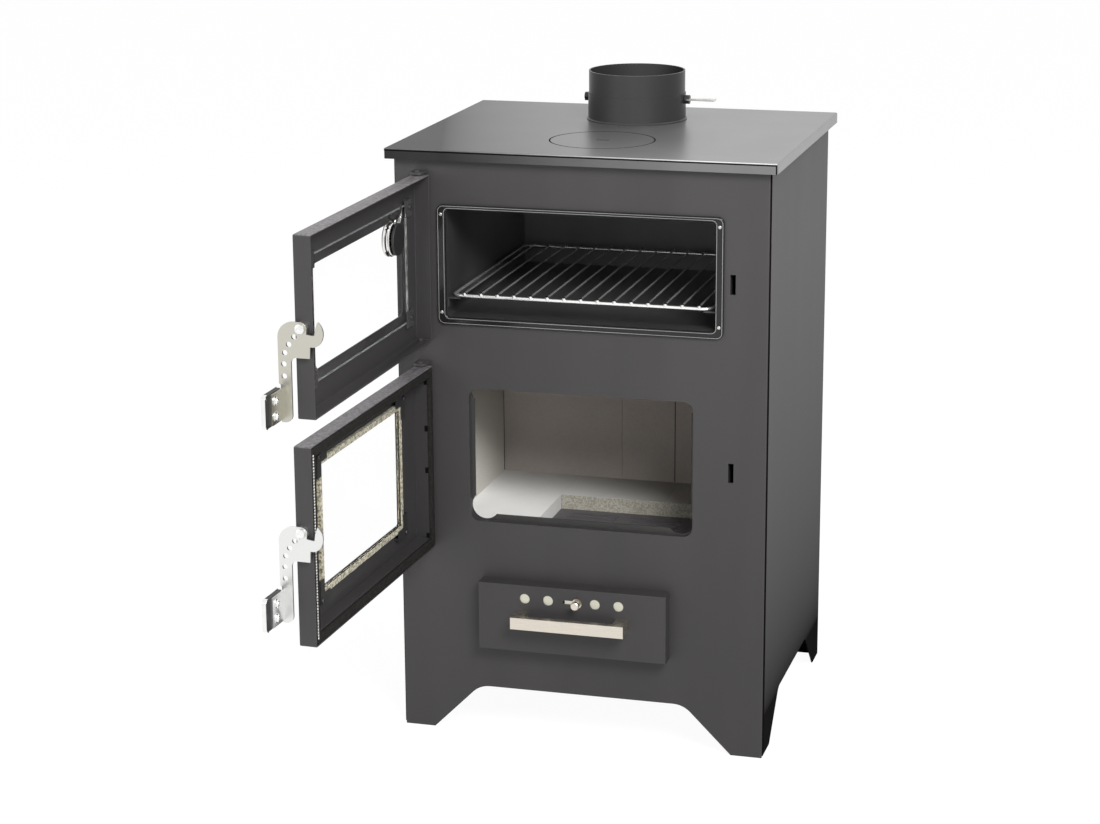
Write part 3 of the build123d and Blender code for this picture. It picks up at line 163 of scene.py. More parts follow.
def paint(name, color, rough, relief=0.10, cloud=0.07, **sockets):
    """Baked satin enamel: cloudy tone, fine grain and a slight orange-peel relief."""
    m, t, s = material(name, color, 0.0, rough, **sockets)
    broad = tint(t, noise(t, 7, 2), scaled(color, 1 - cloud), scaled(color, 1 + cloud))
    grain = tint(t, noise(t, 1500, 2), scaled(color, 0.88), scaled(color, 1.12), 0.35, 0.65)
    t.links.new(blend_colors(t, 0.35, broad, grain), s.inputs["Base Color"])
    t.links.new(spread(t, noise(t, 400, 3), rough - 0.02, rough + 0.02), s.inputs["Roughness"])
    bump(t, s, noise(t, 900, 2), relief, 0.0002)
    return m


def brushed(name, color, rough, stretch, scale=420, cloud=0.08):
    """Brushed metal, its scratches drawn out along one axis."""
    m, t, s = material(name, color, 1.0, rough)
    lines = noise(t, scale, 4, stretch)
    tone = tint(t, lines, scaled(color, 1 - cloud), scaled(color, 1 + cloud))
    t.links.new(tone, s.inputs["Base Color"])
    t.links.new(spread(t, lines, rough - 0.07, rough + 0.09), s.inputs["Roughness"])
    bump(t, s, lines, 0.05, 0.0002)
    return m


def polished(name, color, rough, metallic=1.0):
    """Plated metal with faint polishing haze."""
    m, t, s = material(name, color, metallic, rough)
    haze = noise(t, 90, 4)
    t.links.new(tint(t, haze, scaled(color, 0.94), scaled(color, 1.03)), s.inputs["Base Color"])
    t.links.new(spread(t, haze, max(0.02, rough - 0.03), rough + 0.06), s.inputs["Roughness"])
    return m


def facing(tree, axis):
    """How far a face points along an axis of the piece's own coordinates."""
    coord = tree.nodes.new("ShaderNodeTexCoord")
    split = tree.nodes.new("ShaderNodeSeparateXYZ")
    tree.links.new(coord.outputs["Normal"], split.inputs[0])
    return split.outputs[axis]


def math_of(tree, operation, first, second=None):
    """Output of a math node with one or two inputs."""
    node = tree.nodes.new("ShaderNodeMath")
    node.operation = operation
    tree.links.new(first, node.inputs[0])
    if second is not None:
        tree.links.new(second, node.inputs[1])
    return node.outputs[0]


def ramp_along(tree, direction, start, end):
    """Rises from 0 to 1 along a direction of the piece's own coordinates."""
    coord = tree.nodes.new("ShaderNodeTexCoord")
    dot = tree.nodes.new("ShaderNodeVectorMath")
    dot.operation = "DOT_PRODUCT"
    dot.inputs[1].default_value = direction
    tree.links.new(coord.outputs["Object"], dot.inputs[0])
    return spread(tree, dot.outputs["Value"], 0, 1, start, end)


def boards(name, light, dark, painted_shade_along, painted_shade_color, cut=None):
    """Pressed vermiculite: fine speckle, painted shade that grows along a direction, rough cut faces."""
    m, t, s = material(name, light, 0.0, 0.92, Specular_IOR_Level=0.2)
    fine = noise(t, 420, 5, rough=0.7)
    flakes = tint(t, fine, dark, light, 0.36, 0.6)
    haze = tint(t, noise(t, 9, 3), scaled(light, 0.9), scaled(light, 1.04), 0.3, 0.7)
    face = blend_colors(t, 0.7, flakes, haze)
    shade = tint(t, ramp_along(t, *painted_shade_along), (1, 1, 1), painted_shade_color, 0.0, 1.0)
    face = blend_colors(t, 1.0, face, shade, "MULTIPLY")
    if cut:
        crumbs = tint(t, noise(t, 520, 5, rough=0.75), *cut, 0.4, 0.6)
        side = spread(t, facing(t, "Y"), 1, 0, -0.6, -0.4)
        face = blend_colors(t, side, face, crumbs)
    t.links.new(face, s.inputs["Base Color"])
    first = bump(t, s, fine, 0.25, 0.0006)
    bump(t, s, noise(t, 60, 3), 0.12, 0.0012, first)
    return m


# Tones of the upright streaks of painted reflection
REFLECTION_STREAK_DARK, REFLECTION_STREAK_LIGHT = (0.93,) * 3, (1.07,) * 3


def painted_light_drift(name, low, high, rough, direction, start, end, gloss=(0.5, 0.5)):
    """Paint with painted light and shade: its tone drifts along a direction from a shaded colour to a lit
    one, with soft upright streaks of painted reflection; its gloss drifts too.
    """
    m, t, s = material(name, high, 0.0, rough)
    along = ramp_along(t, direction, start, end)
    painted_tone = tint(t, along, low, high, 0.0, 1.0)
    t.links.new(spread(t, along, *gloss, 0.0, 1.0), s.inputs["Specular IOR Level"])
    reflection_streaks = tint(t, noise(t, 1.0, 2, (14, 14, 1.2)), REFLECTION_STREAK_DARK, REFLECTION_STREAK_LIGHT, 0.35, 0.65)
    t.links.new(blend_colors(t, 1.0, painted_tone, reflection_streaks, "MULTIPLY"), s.inputs["Base Color"])
    bump(t, s, noise(t, 800, 2), 0.05, 0.0002)
    return m


HIGHLIGHT_START, HIGHLIGHT_FULL = 0.0012, 0.0004


def top_highlight_paint(name, color, rough, top):
    """Door paint with a painted highlight in light specks along the top of the upper flange."""
    m, t, s = material(name, color, 0.0, rough)
    highlight_specks = tint(t, noise(t, 260, 4, rough=0.7), scaled(color, 1.8), scaled(color, 6.0), 0.36, 0.64)
    plain = tint(t, noise(t, 6, 3), scaled(color, 0.97), scaled(color, 1.03))
    on_top = ramp_along(t, UP, top - HIGHLIGHT_START, top - HIGHLIGHT_FULL)
    t.links.new(blend_colors(t, on_top, plain, highlight_specks), s.inputs["Base Color"])
    bump(t, s, noise(t, 800, 2), 0.06, 0.0002)
    return m


def painted_light_bands(name, color, rough, **sockets):
    """Paint of a tube with painted light and shade: lighter where it faces front and back, darker at its
    sides.
    """
    m, t, s = material(name, color, 0.0, rough, **sockets)
    sideways = math_of(t, "ABSOLUTE", facing(t, "X"))
    lit_band = tint(t, sideways, scaled(color, 1.35), scaled(color, 0.72), 0.15, 0.85)
    t.links.new(lit_band, s.inputs["Base Color"])
    bump(t, s, noise(t, 800, 2), 0.04, 0.0002)
    return m


def weave(name, color, scale, depth=0.6, shade=0.62, fluff=0.25, gloss=0.5):
    """Plain woven glass fibre: two crossed sets of ribs."""
    m, t, s = material(name, color, 0.0, 0.85, Sheen_Weight=fluff, Specular_IOR_Level=gloss)
    coord = t.nodes.new("ShaderNodeTexCoord")
    waves = []
    for direction in ("Y", "Z"):
        wave = t.nodes.new("ShaderNodeTexWave")
        wave.bands_direction = direction
        wave.inputs["Scale"].default_value = scale
        wave.inputs["Distortion"].default_value = 1.2
        wave.inputs["Detail"].default_value = 2
        t.links.new(coord.outputs["Object"], wave.inputs["Vector"])
        waves.append(wave.outputs["Fac"])
    cross = math_of(t, "MULTIPLY", *waves)
    threads = tint(t, cross, scaled(color, shade), color, 0.0, 0.7)
    fuzz = tint(t, noise(t, 300, 4), scaled(color, shade), scaled(color, 1.25), 0.42, 0.58)
    t.links.new(blend_colors(t, 0.6, threads, fuzz), s.inputs["Base Color"])
    bump(t, s, cross, depth, 0.0006)
    return m


# Front paint with painted shade: darker towards the bottom and towards the right
body_paint = painted_light_drift(
    "body_paint", (0.031, 0.029, 0.030), (0.039, 0.0365, 0.038), 0.5, (-0.3, 0, 1), 0.05, 0.55, (0.4, 0.5)
)
# Side and back panels with painted shade: much darker towards the bottom
side_paint = painted_light_drift(
    "side_paint", (0.010, 0.0095, 0.010), (0.038, 0.036, 0.037), 0.42, (0, 0, 1), 0.05, 0.6, (0.0, 0.12)
)
DOOR_BLACK = (0.034, 0.032, 0.0335)
# Door paints with a painted highlight along the top of each door
oven_door_paint = top_highlight_paint("oven_door_paint", DOOR_BLACK, 0.46, OVEN_HIGH)
fire_door_paint = top_highlight_paint("fire_door_paint", DOOR_BLACK, 0.46, FIRE_HIGH)
# Hob with painted reflection: lighter towards the right and the back
hob_paint = painted_light_drift(
    "hob_paint", (0.030, 0.030, 0.030), (0.115, 0.114, 0.115), 0.30, (1, 0.3, 0), -0.16, 0.14, (0.03, 1.0)
)
# Painted highlight along the hob's front edge, brighter towards the right
hob_edge_highlight = painted_light_drift("hob_edge_highlight", (0.10, 0.10, 0.10), (0.62, 0.62, 0.62), 0.35, (1, 0, 0), -0.15, 0.15)
# Flue collar and damper disc with painted light and shade in bands
flue_paint = painted_light_bands("flue_paint", (0.040, 0.039, 0.040), 0.34, Specular_IOR_Level=0.15)
inner_paint = paint("inner_paint", (0.030, 0.029, 0.028), 0.62, 0.2)
# Oven liner with painted light: lighter towards the back
liner_enamel = painted_light_drift("liner_enamel", (0.030, 0.030, 0.030), (0.20, 0.20, 0.20), 0.5, (0, 1, 0), 0.08, 0.34)
rim_enamel = paint("rim_enamel", (0.012, 0.012, 0.012), 0.12, 0.02, 0.1, Specular_IOR_Level=0.35)
# Painted highlight for the lines along the oven rim's edges
rim_highlight = paint("rim_highlight", (0.26, 0.26, 0.26), 0.25, 0.02, 0.3)
iron = paint("cast_iron", (0.085, 0.080, 0.084), 0.6, 0.6, 0.2)
clip_paint = paint("clip_paint", (0.020, 0.020, 0.020), 0.4)
clip_gloss = polished("clip_gloss", (0.20, 0.20, 0.20), 0.22, 0.8)
plastic = paint("grip_plastic", (0.012, 0.012, 0.012), 0.5, 0.3)
warm_steel = brushed("warm_stainless", (0.57, 0.555, 0.49), 0.3, (1, 1, 30), 900, 0.02)
pale_steel = brushed("pale_stainless", (0.80, 0.80, 0.79), 0.3, (1, 1, 30), 900, 0.02)
nickel = brushed("nickel", (0.70, 0.645, 0.565), 0.3, (0.06, 1, 1), 900, 0.05)
slider_steel = brushed("slider_steel", (0.66, 0.65, 0.55), 0.4, (0.1, 1, 1), 700, 0.05)
zinc = brushed("zinc", (0.62, 0.61, 0.58), 0.34, (1, 1, 1), 250, 0.15)
chrome = polished("chrome", (0.90, 0.90, 0.89), 0.06)
wire = polished("rack_chrome", (0.92, 0.92, 0.91), 0.2, 0.82)
# Thermometer case: chrome with stripes of painted reflection, near black to bright
case_chrome, case_tree, case_shader = material("case_chrome", (0.9, 0.9, 0.89), 1.0, 0.1)
reflection_bands = noise(case_tree, 1.0, 2, (420, 14, 14))
case_tree.links.new(
    tint(case_tree, reflection_bands, (0.035, 0.035, 0.035), (0.80, 0.79, 0.77), 0.44, 0.54),
    case_shader.inputs["Base Color"],
)
# Near black for painted shade in gaps, slots and folds, and for the dark joints of the boards
shade_and_joint_black = paint("shade_and_joint_black", (0.006, 0.006, 0.006), 0.9, 0.1, Specular_IOR_Level=0.0)
# Firebox boards with painted shade: the side boards darker towards the top, the back darker towards the
# upper right, the floor darker towards the back and right
left_wall = boards(
    "left_wall", (0.66, 0.64, 0.59), (0.44, 0.42, 0.38), ((0, 0, 1), 0.30, 0.44), (0.42, 0.40, 0.37)
)
back_wall = boards(
    "back_wall", (0.44, 0.40, 0.37), (0.33, 0.295, 0.27), ((0.7, 0, 1), 0.30, 0.56), (0.7, 0.68, 0.68)
)
floor_board = boards(
    "floor_board", (0.92, 0.915, 0.90), (0.80, 0.79, 0.76), ((0.6, 0.8, 0), 0.02, 0.2), (0.34, 0.33, 0.31),
    ((0.27, 0.255, 0.215), (0.50, 0.475, 0.41)),
)
tape = weave("glass_tape", (0.64, 0.59, 0.42), 190, 1.0, 0.12)
rope = weave("rope", (0.022, 0.021, 0.020), 170, 0.9, 0.62, 0.0, 0.08)
stitch = weave("stitch", (0.80, 0.79, 0.76), 400)
# Ground glass edge, lighter grey as a painted highlight
ground_edge_highlight, ground_tree, ground_shader = material("ground_glass_edge_highlight", (0.40, 0.42, 0.41), 0, 0.35)
ground_tree.links.new(
    tint(ground_tree, noise(ground_tree, 120, 3), (0.09, 0.095, 0.092), (0.36, 0.37, 0.365)),
    ground_shader.inputs["Base Color"],
)

glass, glass_tree, glass_shader = material("clear_glass", (1.0, 1.0, 1.0), 0, 0.0)
glass_shader.inputs["Transmission Weight"].default_value = 1.0
glass_shader.inputs["IOR"].default_value = 1.03
smears = noise(glass_tree, 14, 4)
glass_tree.links.new(spread(glass_tree, smears, 0.0, 0.015, 0.45, 0.8), glass_shader.inputs["Roughness"])

dial_face, dial_tree, dial_shader = material("dial_face", (0.86, 0.86, 0.84), 0, 0.35)
dial_tree.links.new(
    tint(dial_tree, noise(dial_tree, 300, 2), (0.84, 0.84, 0.82), (0.88, 0.88, 0.86)),
    dial_shader.inputs["Base Color"],
)
dial_ink = paint("dial_ink", (0.02, 0.02, 0.02), 0.45, 0.05)
dial_red = paint("dial_red", (0.45, 0.03, 0.02), 0.45, 0.05)

finish_of = {
    body_paint: ["front_panel", "oven_hinge_lugs", "fire_hinge_lugs", "drawer_front", "hinge_pins",
                 "hinge_washers"],
    side_paint: ["left_side_panel", "right_side_panel", "back_panel"],
    oven_door_paint: ["oven_door_frame"],
    fire_door_paint: ["fire_door_frame", "rope_channel"],
    hob_paint: ["hob_plate", "hob_lid"],
    flue_paint: ["flue_collar", "damper_disc"],
    inner_paint: ["base_plate", "hob_seat_ring", "inner_shell", "firebox_frame", "hearth_deck",
                  "brick_back_plate", "drawer_guides", "ash_tray"],
    liner_enamel: ["oven_liner", "rack_runners"],
    rim_enamel: ["oven_rim"],
    iron: ["grate"],
    clip_gloss: ["oven_glass_clips"],
    clip_paint: ["fire_glass_clips", "damper_shaft", "damper_nut"],
    plastic: ["thermometer_back", "oven_grip_pad", "fire_grip_pad"],
    warm_steel: ["oven_latch_lever"],
    pale_steel: ["fire_latch_lever"],
    nickel: ["drawer_handle", "air_knob"],
    slider_steel: ["air_slider"],
    zinc: ["damper_handle", "oven_latch_screw", "fire_latch_screw"],
    wire: ["oven_rack"],
    chrome: ["oven_grip_cover", "fire_grip_cover"],
    case_chrome: ["thermometer_case"],
    left_wall: ["left_firebrick", "right_firebrick"],
    back_wall: ["back_firebricks", "baffle"],
    floor_board: ["floor_firebricks"],
    tape: ["fire_glass_tape"],
    rope: ["rope_seal"],
    glass: ["oven_glass", "fire_glass"],
}
for finish, names in finish_of.items():
    for name in names:
        nodes[name].data.materials.clear()
        nodes[name].data.materials.append(finish)


# Fine pieces
SAME_PLACE = 1e-7
ON_AXIS = 1e-9
SMOOTH_ANGLE = 35


def add(name, mesh_maker, finish, body, smooth=True):
    """Makes a mesh object that rides on a CAD body."""
    mesh = bpy.data.meshes.new(name)
    bm = bmesh.new()
    mesh_maker(bm)
    bmesh.ops.remove_doubles(bm, verts=bm.verts, dist=SAME_PLACE)
    bmesh.ops.recalc_face_normals(bm, faces=bm.faces)
    bm.to_mesh(mesh)
    bm.free()
    mesh.materials.append(finish)
    piece = bpy.data.objects.new(name, mesh)
    scene.collection.objects.link(piece)
    if smooth:
        for polygon in mesh.polygons:
            polygon.use_smooth = True
        mesh.set_sharp_from_angle(angle=math.radians(SMOOTH_ANGLE))
    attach(piece, body)
    return piece


def axes_for(direction):
    """Rotation that turns +Z to the given direction."""
    return Vector(direction).to_track_quat("Z", "Y").to_matrix()


def turned(bm, point, direction, profile, steps=32):
    """Turned shape: profile is (radius, height) pairs along the direction from the point."""
    turn = axes_for(direction)
    rings = []
    for radius, height in profile:
        if radius < ON_AXIS:
            rings.append([bm.verts.new(point + turn @ Vector((0, 0, height)))])
            continue
        ring = []
        for i in range(steps):
            a = math.tau * i / steps
            around = Vector((radius * math.cos(a), radius * math.sin(a), height))
            ring.append(bm.verts.new(point + turn @ around))
        rings.append(ring)
    for low, high in zip(rings[:-1], rings[1:]):
        for i in range(steps):
            j = (i + 1) % steps
            corners = [low[i % len(low)], low[j % len(low)], high[j % len(high)], high[i % len(high)]]
            kept = [v for k, v in enumerate(corners) if v not in corners[:k]]
            if len(kept) > 2:
                bm.faces.new(kept)


def screw_head(bm, point, direction, radius, height):
    """Domed screw head with a round socket."""
    rise = [(radius, 0), (radius, height * 0.45), (radius * 0.86, height * 0.8), (radius * 0.55, height)]
    socket = [(radius * 0.42, height), (radius * 0.4, height * 0.45), (0, height * 0.4)]
    turned(bm, point, direction, rise + socket, 24)


def block(bm, center, size, turn=Matrix.Identity(3), round_by=0.0004):
    """Small block with bevelled edges, turned in place."""
    made = bmesh.ops.create_cube(bm, size=1.0)["verts"]
    for v in made:
        v.co = Vector(center) + turn @ Vector(v.co[i] * size[i] for i in range(3))
    edges = {e for v in made for e in v.link_edges}
    bmesh.ops.bevel(bm, geom=list(edges), offset=round_by, segments=2, profile=0.5, affect="EDGES")


def door_turn(angle):
    """Rotation whose axes are along the door, out of it, and up."""
    along, outward = door_axes(angle)
    return Matrix((along, outward, UP)).transposed()


def loop_of(bm, rows):
    """Faces of a closed tube whose rows of vertices follow one another, the last joined to the first."""
    for low, high in zip(rows, rows[1:] + rows[:1]):
        for i in range(len(low)):
            j = (i + 1) % len(low)
            bm.faces.new((low[i], low[j], high[j], high[i]))


def prism(bm, outline, place, low, high):
    """Prism of an outline; place gives the point for its two coordinates and a height."""
    rings = [[bm.verts.new(place(a, b, h)) for a, b in outline] for h in (low, high)]
    bm.faces.new(rings[0])
    bm.faces.new(rings[1][::-1])
    for i in range(len(outline)):
        j = (i + 1) % len(outline)
        bm.faces.new((rings[0][i], rings[0][j], rings[1][j], rings[1][i]))


def strip(bm, path, place, width, thickness):
    """Bent flat strip that follows (along, rise, depth) points; place gives their positions."""
    for start, end in zip(path[:-1], path[1:]):
        a, b = place(*start), place(*end)
        run = (b - a).normalized()
        across = run.cross(door_axes(OVEN_ANGLE)[1]).normalized()
        turn = Matrix((run, across, run.cross(across))).transposed()
        overlap = width * 0.4
        block(bm, (a + b) / 2, ((b - a).length + overlap, width, thickness), turn, 0.0003)


def arc(center_a, center_b, radius, start, end, steps=8):
    """Points of an arc, its angles in degrees."""
    angles = [math.radians(start + (end - start) * i / steps) for i in range(steps + 1)]
    return [(center_a + radius * math.cos(t), center_b + radius * math.sin(t)) for t in angles]


SOFT_ANGLE = 40


def soften(piece, width):
    """Small bevels that catch the light along a piece's edges."""
    bevel = piece.modifiers.new("edges", "BEVEL")
    bevel.width = width
    bevel.segments = 2
    bevel.limit_method = "ANGLE"
    bevel.angle_limit = math.radians(SOFT_ANGLE)


# Grips: rounded chrome cover over a black pad, held to the folded tab by two screws
GRIP_START, GRIP_END = 0.0085, 0.0505
GRIP_TOP, GRIP_BOTTOM = -0.064, -0.102
PAD_INNER, PAD_OUTER, COVER_OUTER = -0.024, -0.028, -0.029
GRIP_ROUND = 0.006
GRIP_WALL = 0.001
GRIP_EDGE = 0.0003
GRIP_SCREW = Vector((0.027, -0.022, 0))
GRIP_SCREW_RISES = (-0.0745, -0.0915)
GRIP_SCREW_HEAD = (0.0040, 0.0026)
WASHER = [(0.0056, 0), (0.0056, 0.0006), (0.0050, 0.0009), (0, 0.0009)]
WASHER_LIFT = 0.0008
PIVOT_FACE = 0.0091
PIVOT_HEAD = (0.0052, 0.0013)
for angle, name in ((OVEN_ANGLE, "oven"), (FIRE_ANGLE, "fire")):
    body = f"{name}_latch"

    def grip_place(along, rise, across, angle=angle):
        return on_latch(angle, along, across, rise)

    def near_end(radius):
        corner = GRIP_END - GRIP_ROUND
        low = arc(corner, GRIP_BOTTOM + GRIP_ROUND, radius, -90, 0)
        high = arc(corner, GRIP_TOP - GRIP_ROUND, radius, 0, 90)
        return low + high

    outer = near_end(GRIP_ROUND)
    inner = near_end(GRIP_ROUND - GRIP_WALL)
    plate = [(GRIP_START, GRIP_TOP), (GRIP_START, GRIP_BOTTOM)] + outer
    padding = [(GRIP_START, GRIP_TOP - GRIP_WALL), (GRIP_START, GRIP_BOTTOM + GRIP_WALL)] + inner

    def make_cover(bm):
        prism(bm, plate, grip_place, COVER_OUTER, PAD_OUTER)
        prism(bm, outer + inner[::-1], grip_place, PAD_OUTER, PAD_INNER)

    cover = add(f"{name}_grip_chrome", make_cover, chrome, body)
    soften(cover, GRIP_EDGE)
    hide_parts(f"{name}_grip_cover")

    def make_core(bm):
        prism(bm, padding, grip_place, PAD_OUTER, PAD_INNER)

    pad = add(f"{name}_grip_core", make_core, plastic, body)
    soften(pad, GRIP_EDGE)
    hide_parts(f"{name}_grip_pad")

    def make_screws(bm):
        inward = -door_axes(angle)[1]
        for rise in GRIP_SCREW_RISES:
            point = on_latch(angle, GRIP_SCREW.x, GRIP_SCREW.y, rise)
            turned(bm, point, inward, WASHER, 28)
            screw_head(bm, point + inward * WASHER_LIFT, inward, *GRIP_SCREW_HEAD)

    add(f"{name}_grip_screws", make_screws, chrome, body)

    def make_pivot_head(bm):
        along = door_axes(angle)[0]
        point = on_latch(angle, PIVOT_FACE, 0, 0)
        screw_head(bm, point, along, *PIVOT_HEAD)

    add(f"{name}_pivot_head", make_pivot_head, chrome, f"{name}_door")

# Thermometer: dial, needle and the spring clip that holds it to the glass
THERMO_U, THERMO_Z = 0.072, 0.6305
DIAL_DEPTH = -0.006
DIAL_RADIUS = 0.0173
DIAL_SHEET = 0.0003
INK = 0.0002
TICKS = 31
TICK_STEP = 9
FIRST_TICK = -135
LONG_EVERY = 5
LONG_TICK, SHORT_TICK = (0.0150, 0.0030), (0.0157, 0.0016)
TICK_WIDTH, TICK_LIFT = 0.0004, 0.0004
NEEDLE_CLOCK = -128
NEEDLE = {"radius": 0.0045, "length": 0.0175, "width": 0.0008, "lift": 0.0010}
HUB = [(0.0016, 0), (0.0016, 0.0014), (0.0008, 0.0017), (0, 0.0017)]
SPRING_SHEET = 0.0007
SPRING_RIGHT_WIDTH, SPRING_LEFT_WIDTH = 0.0034, 0.0042
SPRING_RIGHT = [(0.004, 0.015, 0.0050), (0.014, 0.023, 0.0075), (0.031, 0.0305, 0.0052)]
SPRING_LEFT = [(-0.003, 0.015, 0.0050), (-0.007, 0.027, 0.0075), (-0.016, 0.0350, 0.0052)]
oven_along, oven_outward = door_axes(OVEN_ANGLE)
dial_center = on_door(OVEN_ANGLE, THERMO_U, DIAL_DEPTH, THERMO_Z)


def make_dial(bm):
    disc = [(0, 0), (DIAL_RADIUS, 0), (DIAL_RADIUS, DIAL_SHEET), (0, DIAL_SHEET)]
    turned(bm, dial_center, oven_outward, disc, 48)


def dial_mark(bm, clock, radius, length, width, lift):
    """Radial mark at an angle from the top of the dial."""
    t = math.radians(clock)
    out = oven_along * math.sin(t) + UP * math.cos(t)
    turn = Matrix((out, out.cross(oven_outward), oven_outward)).transposed()
    point = dial_center + out * radius + oven_outward * lift
    block(bm, point, (length, width, INK), turn, 0.00003)


def make_ticks(bm):
    for i in range(TICKS):
        radius, length = LONG_TICK if i % LONG_EVERY == 0 else SHORT_TICK
        dial_mark(bm, FIRST_TICK + TICK_STEP * i, radius, length, TICK_WIDTH, TICK_LIFT)


def make_needle(bm):
    dial_mark(bm, NEEDLE_CLOCK, **NEEDLE)
    turned(bm, dial_center, oven_outward, HUB, 20)


add("dial_plate", make_dial, dial_face, "oven_door")
add("dial_ticks", make_ticks, dial_ink, "oven_door", smooth=False)
add("dial_needle", make_needle, dial_red, "oven_door")


def make_spring(bm):
    def place(along, rise, depth):
        return on_door(OVEN_ANGLE, THERMO_U + along, depth, THERMO_Z + rise)

    strip(bm, SPRING_RIGHT, place, SPRING_RIGHT_WIDTH, SPRING_SHEET)
    strip(bm, SPRING_LEFT, place, SPRING_LEFT_WIDTH, SPRING_SHEET)


add("thermometer_spring", make_spring, chrome, "oven_door")

# Ground edges of the oven glass, made lighter with a painted highlight along them
GLASS_SIDE, GLASS_END = 0.038, 0.030
GLASS_U = (GLASS_SIDE, DOOR_WIDTH - GLASS_SIDE)
GLASS_Z = (OVEN_LOW + GLASS_END, OVEN_HIGH - GLASS_END)
GLASS_DEPTH = 0.0030
GLASS_EDGE = 0.0005
GLASS_THICKNESS = 0.0032


def make_glass_edges(bm):
    turn = door_turn(OVEN_ANGLE)
    middle_u, middle_z = sum(GLASS_U) / 2, sum(GLASS_Z) / 2
    for u in GLASS_U:
        size = (GLASS_EDGE, GLASS_THICKNESS, GLASS_Z[1] - GLASS_Z[0])
        block(bm, on_door(OVEN_ANGLE, u, GLASS_DEPTH, middle_z), size, turn, 0.0002)
    for z in GLASS_Z:
        size = (GLASS_U[1] - GLASS_U[0], GLASS_THICKNESS, GLASS_EDGE)
        block(bm, on_door(OVEN_ANGLE, middle_u, GLASS_DEPTH, z), size, turn, 0.0002)


add("oven_glass_edges", make_glass_edges, ground_edge_highlight, "oven_door")

# Small screws of the glass clips
CLIP_FACE = 0.0060
CLIP_OUT, CLIP_IN = 0.0085, 0.004
CLIP_SCREW = (0.0036, 0.0020)
FIRE_CLIP_FACE = 0.0076
FIRE_CLIP_OUT = 0.0048
FIRE_CLIP_SCREW = (0.0034, 0.0020)
FIRE_GLASS_U = (0.0705, DOOR_WIDTH - 0.0545)
FIRE_GLASS_Z = (FIRE_LOW + 0.0410, FIRE_HIGH - 0.0295)


def make_oven_clip_screws(bm):
    for u, side in zip(GLASS_U, (-1, 1)):
        for z, end in zip(GLASS_Z, (-1, 1)):
            point = on_door(OVEN_ANGLE, u + side * CLIP_OUT, CLIP_FACE, z - end * CLIP_IN)
            screw_head(bm, point, -oven_outward, *CLIP_SCREW)


def make_fire_clip_screws(bm):
    for u, side in zip(FIRE_GLASS_U, (-1, 1)):
        for z, end in zip(FIRE_GLASS_Z, (-1, 1)):
            out, rise = side * FIRE_CLIP_OUT, end * FIRE_CLIP_OUT
            point = on_door(FIRE_ANGLE, u + out, FIRE_CLIP_FACE, z + rise)
            screw_head(bm, point, -door_axes(FIRE_ANGLE)[1], *FIRE_CLIP_SCREW)


add("oven_clip_screws", make_oven_clip_screws, clip_paint, "oven_door")
add("fire_clip_screws", make_fire_clip_screws, clip_paint, "fire_door")

# Shade in the slots of the rope channel at the hinge side
SLOT_U = 0.01375
SLOT_DEPTH = 0.0155
SLOT_SIZE = (0.0019, 0.0032, 0.0070)
SLOT_SHARES = (0.075, 0.44, 0.67, 0.925)


def make_slot_shades(bm):
    turn = door_turn(FIRE_ANGLE)
    height = FIRE_HIGH - FIRE_LOW
    for share in SLOT_SHARES:
        z = FIRE_LOW + share * height
        block(bm, on_door(FIRE_ANGLE, SLOT_U, SLOT_DEPTH, z), SLOT_SIZE, turn, 0.0001)


add("channel_slots", make_slot_shades, shade_and_joint_black, "fire_door")

# Pale tracer thread in the rope along the free edge of the firebox door
ROPE_U = DOOR_WIDTH - 0.0038
ROPE_DEPTH = 0.0210
STITCHES = 62
STITCH_MARGIN = 0.010
STITCH = (0.0014, 0.0006, 0.0018)


def make_stitches(bm):
    turn = door_turn(FIRE_ANGLE)
    length = FIRE_HIGH - FIRE_LOW - 2 * STITCH_MARGIN
    for i in range(STITCHES):
        z = FIRE_LOW + STITCH_MARGIN + length * i / (STITCHES - 1)
        block(bm, on_door(FIRE_ANGLE, ROPE_U, ROPE_DEPTH, z), STITCH, turn, 0.0002)


add("rope_tracer", make_stitches, stitch, "fire_door")

# Weld beads where the rack's bars meet its frame
RACK_Y = (0.030, 0.336)
RACK_Z = 0.5500
RACK_PITCH = 0.0204
RACK_BARS = 15
BEAD = [(0.0027, -0.0012), (0.0027, 0.0012), (0.0018, 0.0028), (0, 0.0033)]
BEAD_LEAN = 0.5


def make_welds(bm):
    for i in range(RACK_BARS):
        x = (i - (RACK_BARS - 1) / 2) * RACK_PITCH
        for y, out in zip(RACK_Y, (-1, 1)):
            turned(bm, Vector((x, y, RACK_Z)), (0, out * BEAD_LEAN, 1), BEAD, 14)


add("rack_welds", make_welds, chrome, "oven_rack")

# Screws of the damper disc and of the back panel
FLUE_DISC_Z = 0.752
DISC_SCREW_X = 0.022
DISC_SCREW = (0.0042, 0.0024)
BACK_FACE = 0.4005
BACK_SCREW = (0.0038, 0.0020)
BACK_SCREW_X = 0.212
BACK_SCREWS_Z = (0.11, 0.30, 0.50, 0.69)


def make_disc_screws(bm):
    for x in (-DISC_SCREW_X, DISC_SCREW_X):
        screw_head(bm, Vector((x, FLUE.y, FLUE_DISC_Z)), UP, *DISC_SCREW)


def make_back_screws(bm):
    for x in (-BACK_SCREW_X, BACK_SCREW_X):
        for z in BACK_SCREWS_Z:
            screw_head(bm, Vector((x, BACK_FACE, z)), (0, 1, 0), *BACK_SCREW)


add("damper_screws", make_disc_screws, zinc, "damper")
add("back_screws", make_back_screws, zinc, "stove")

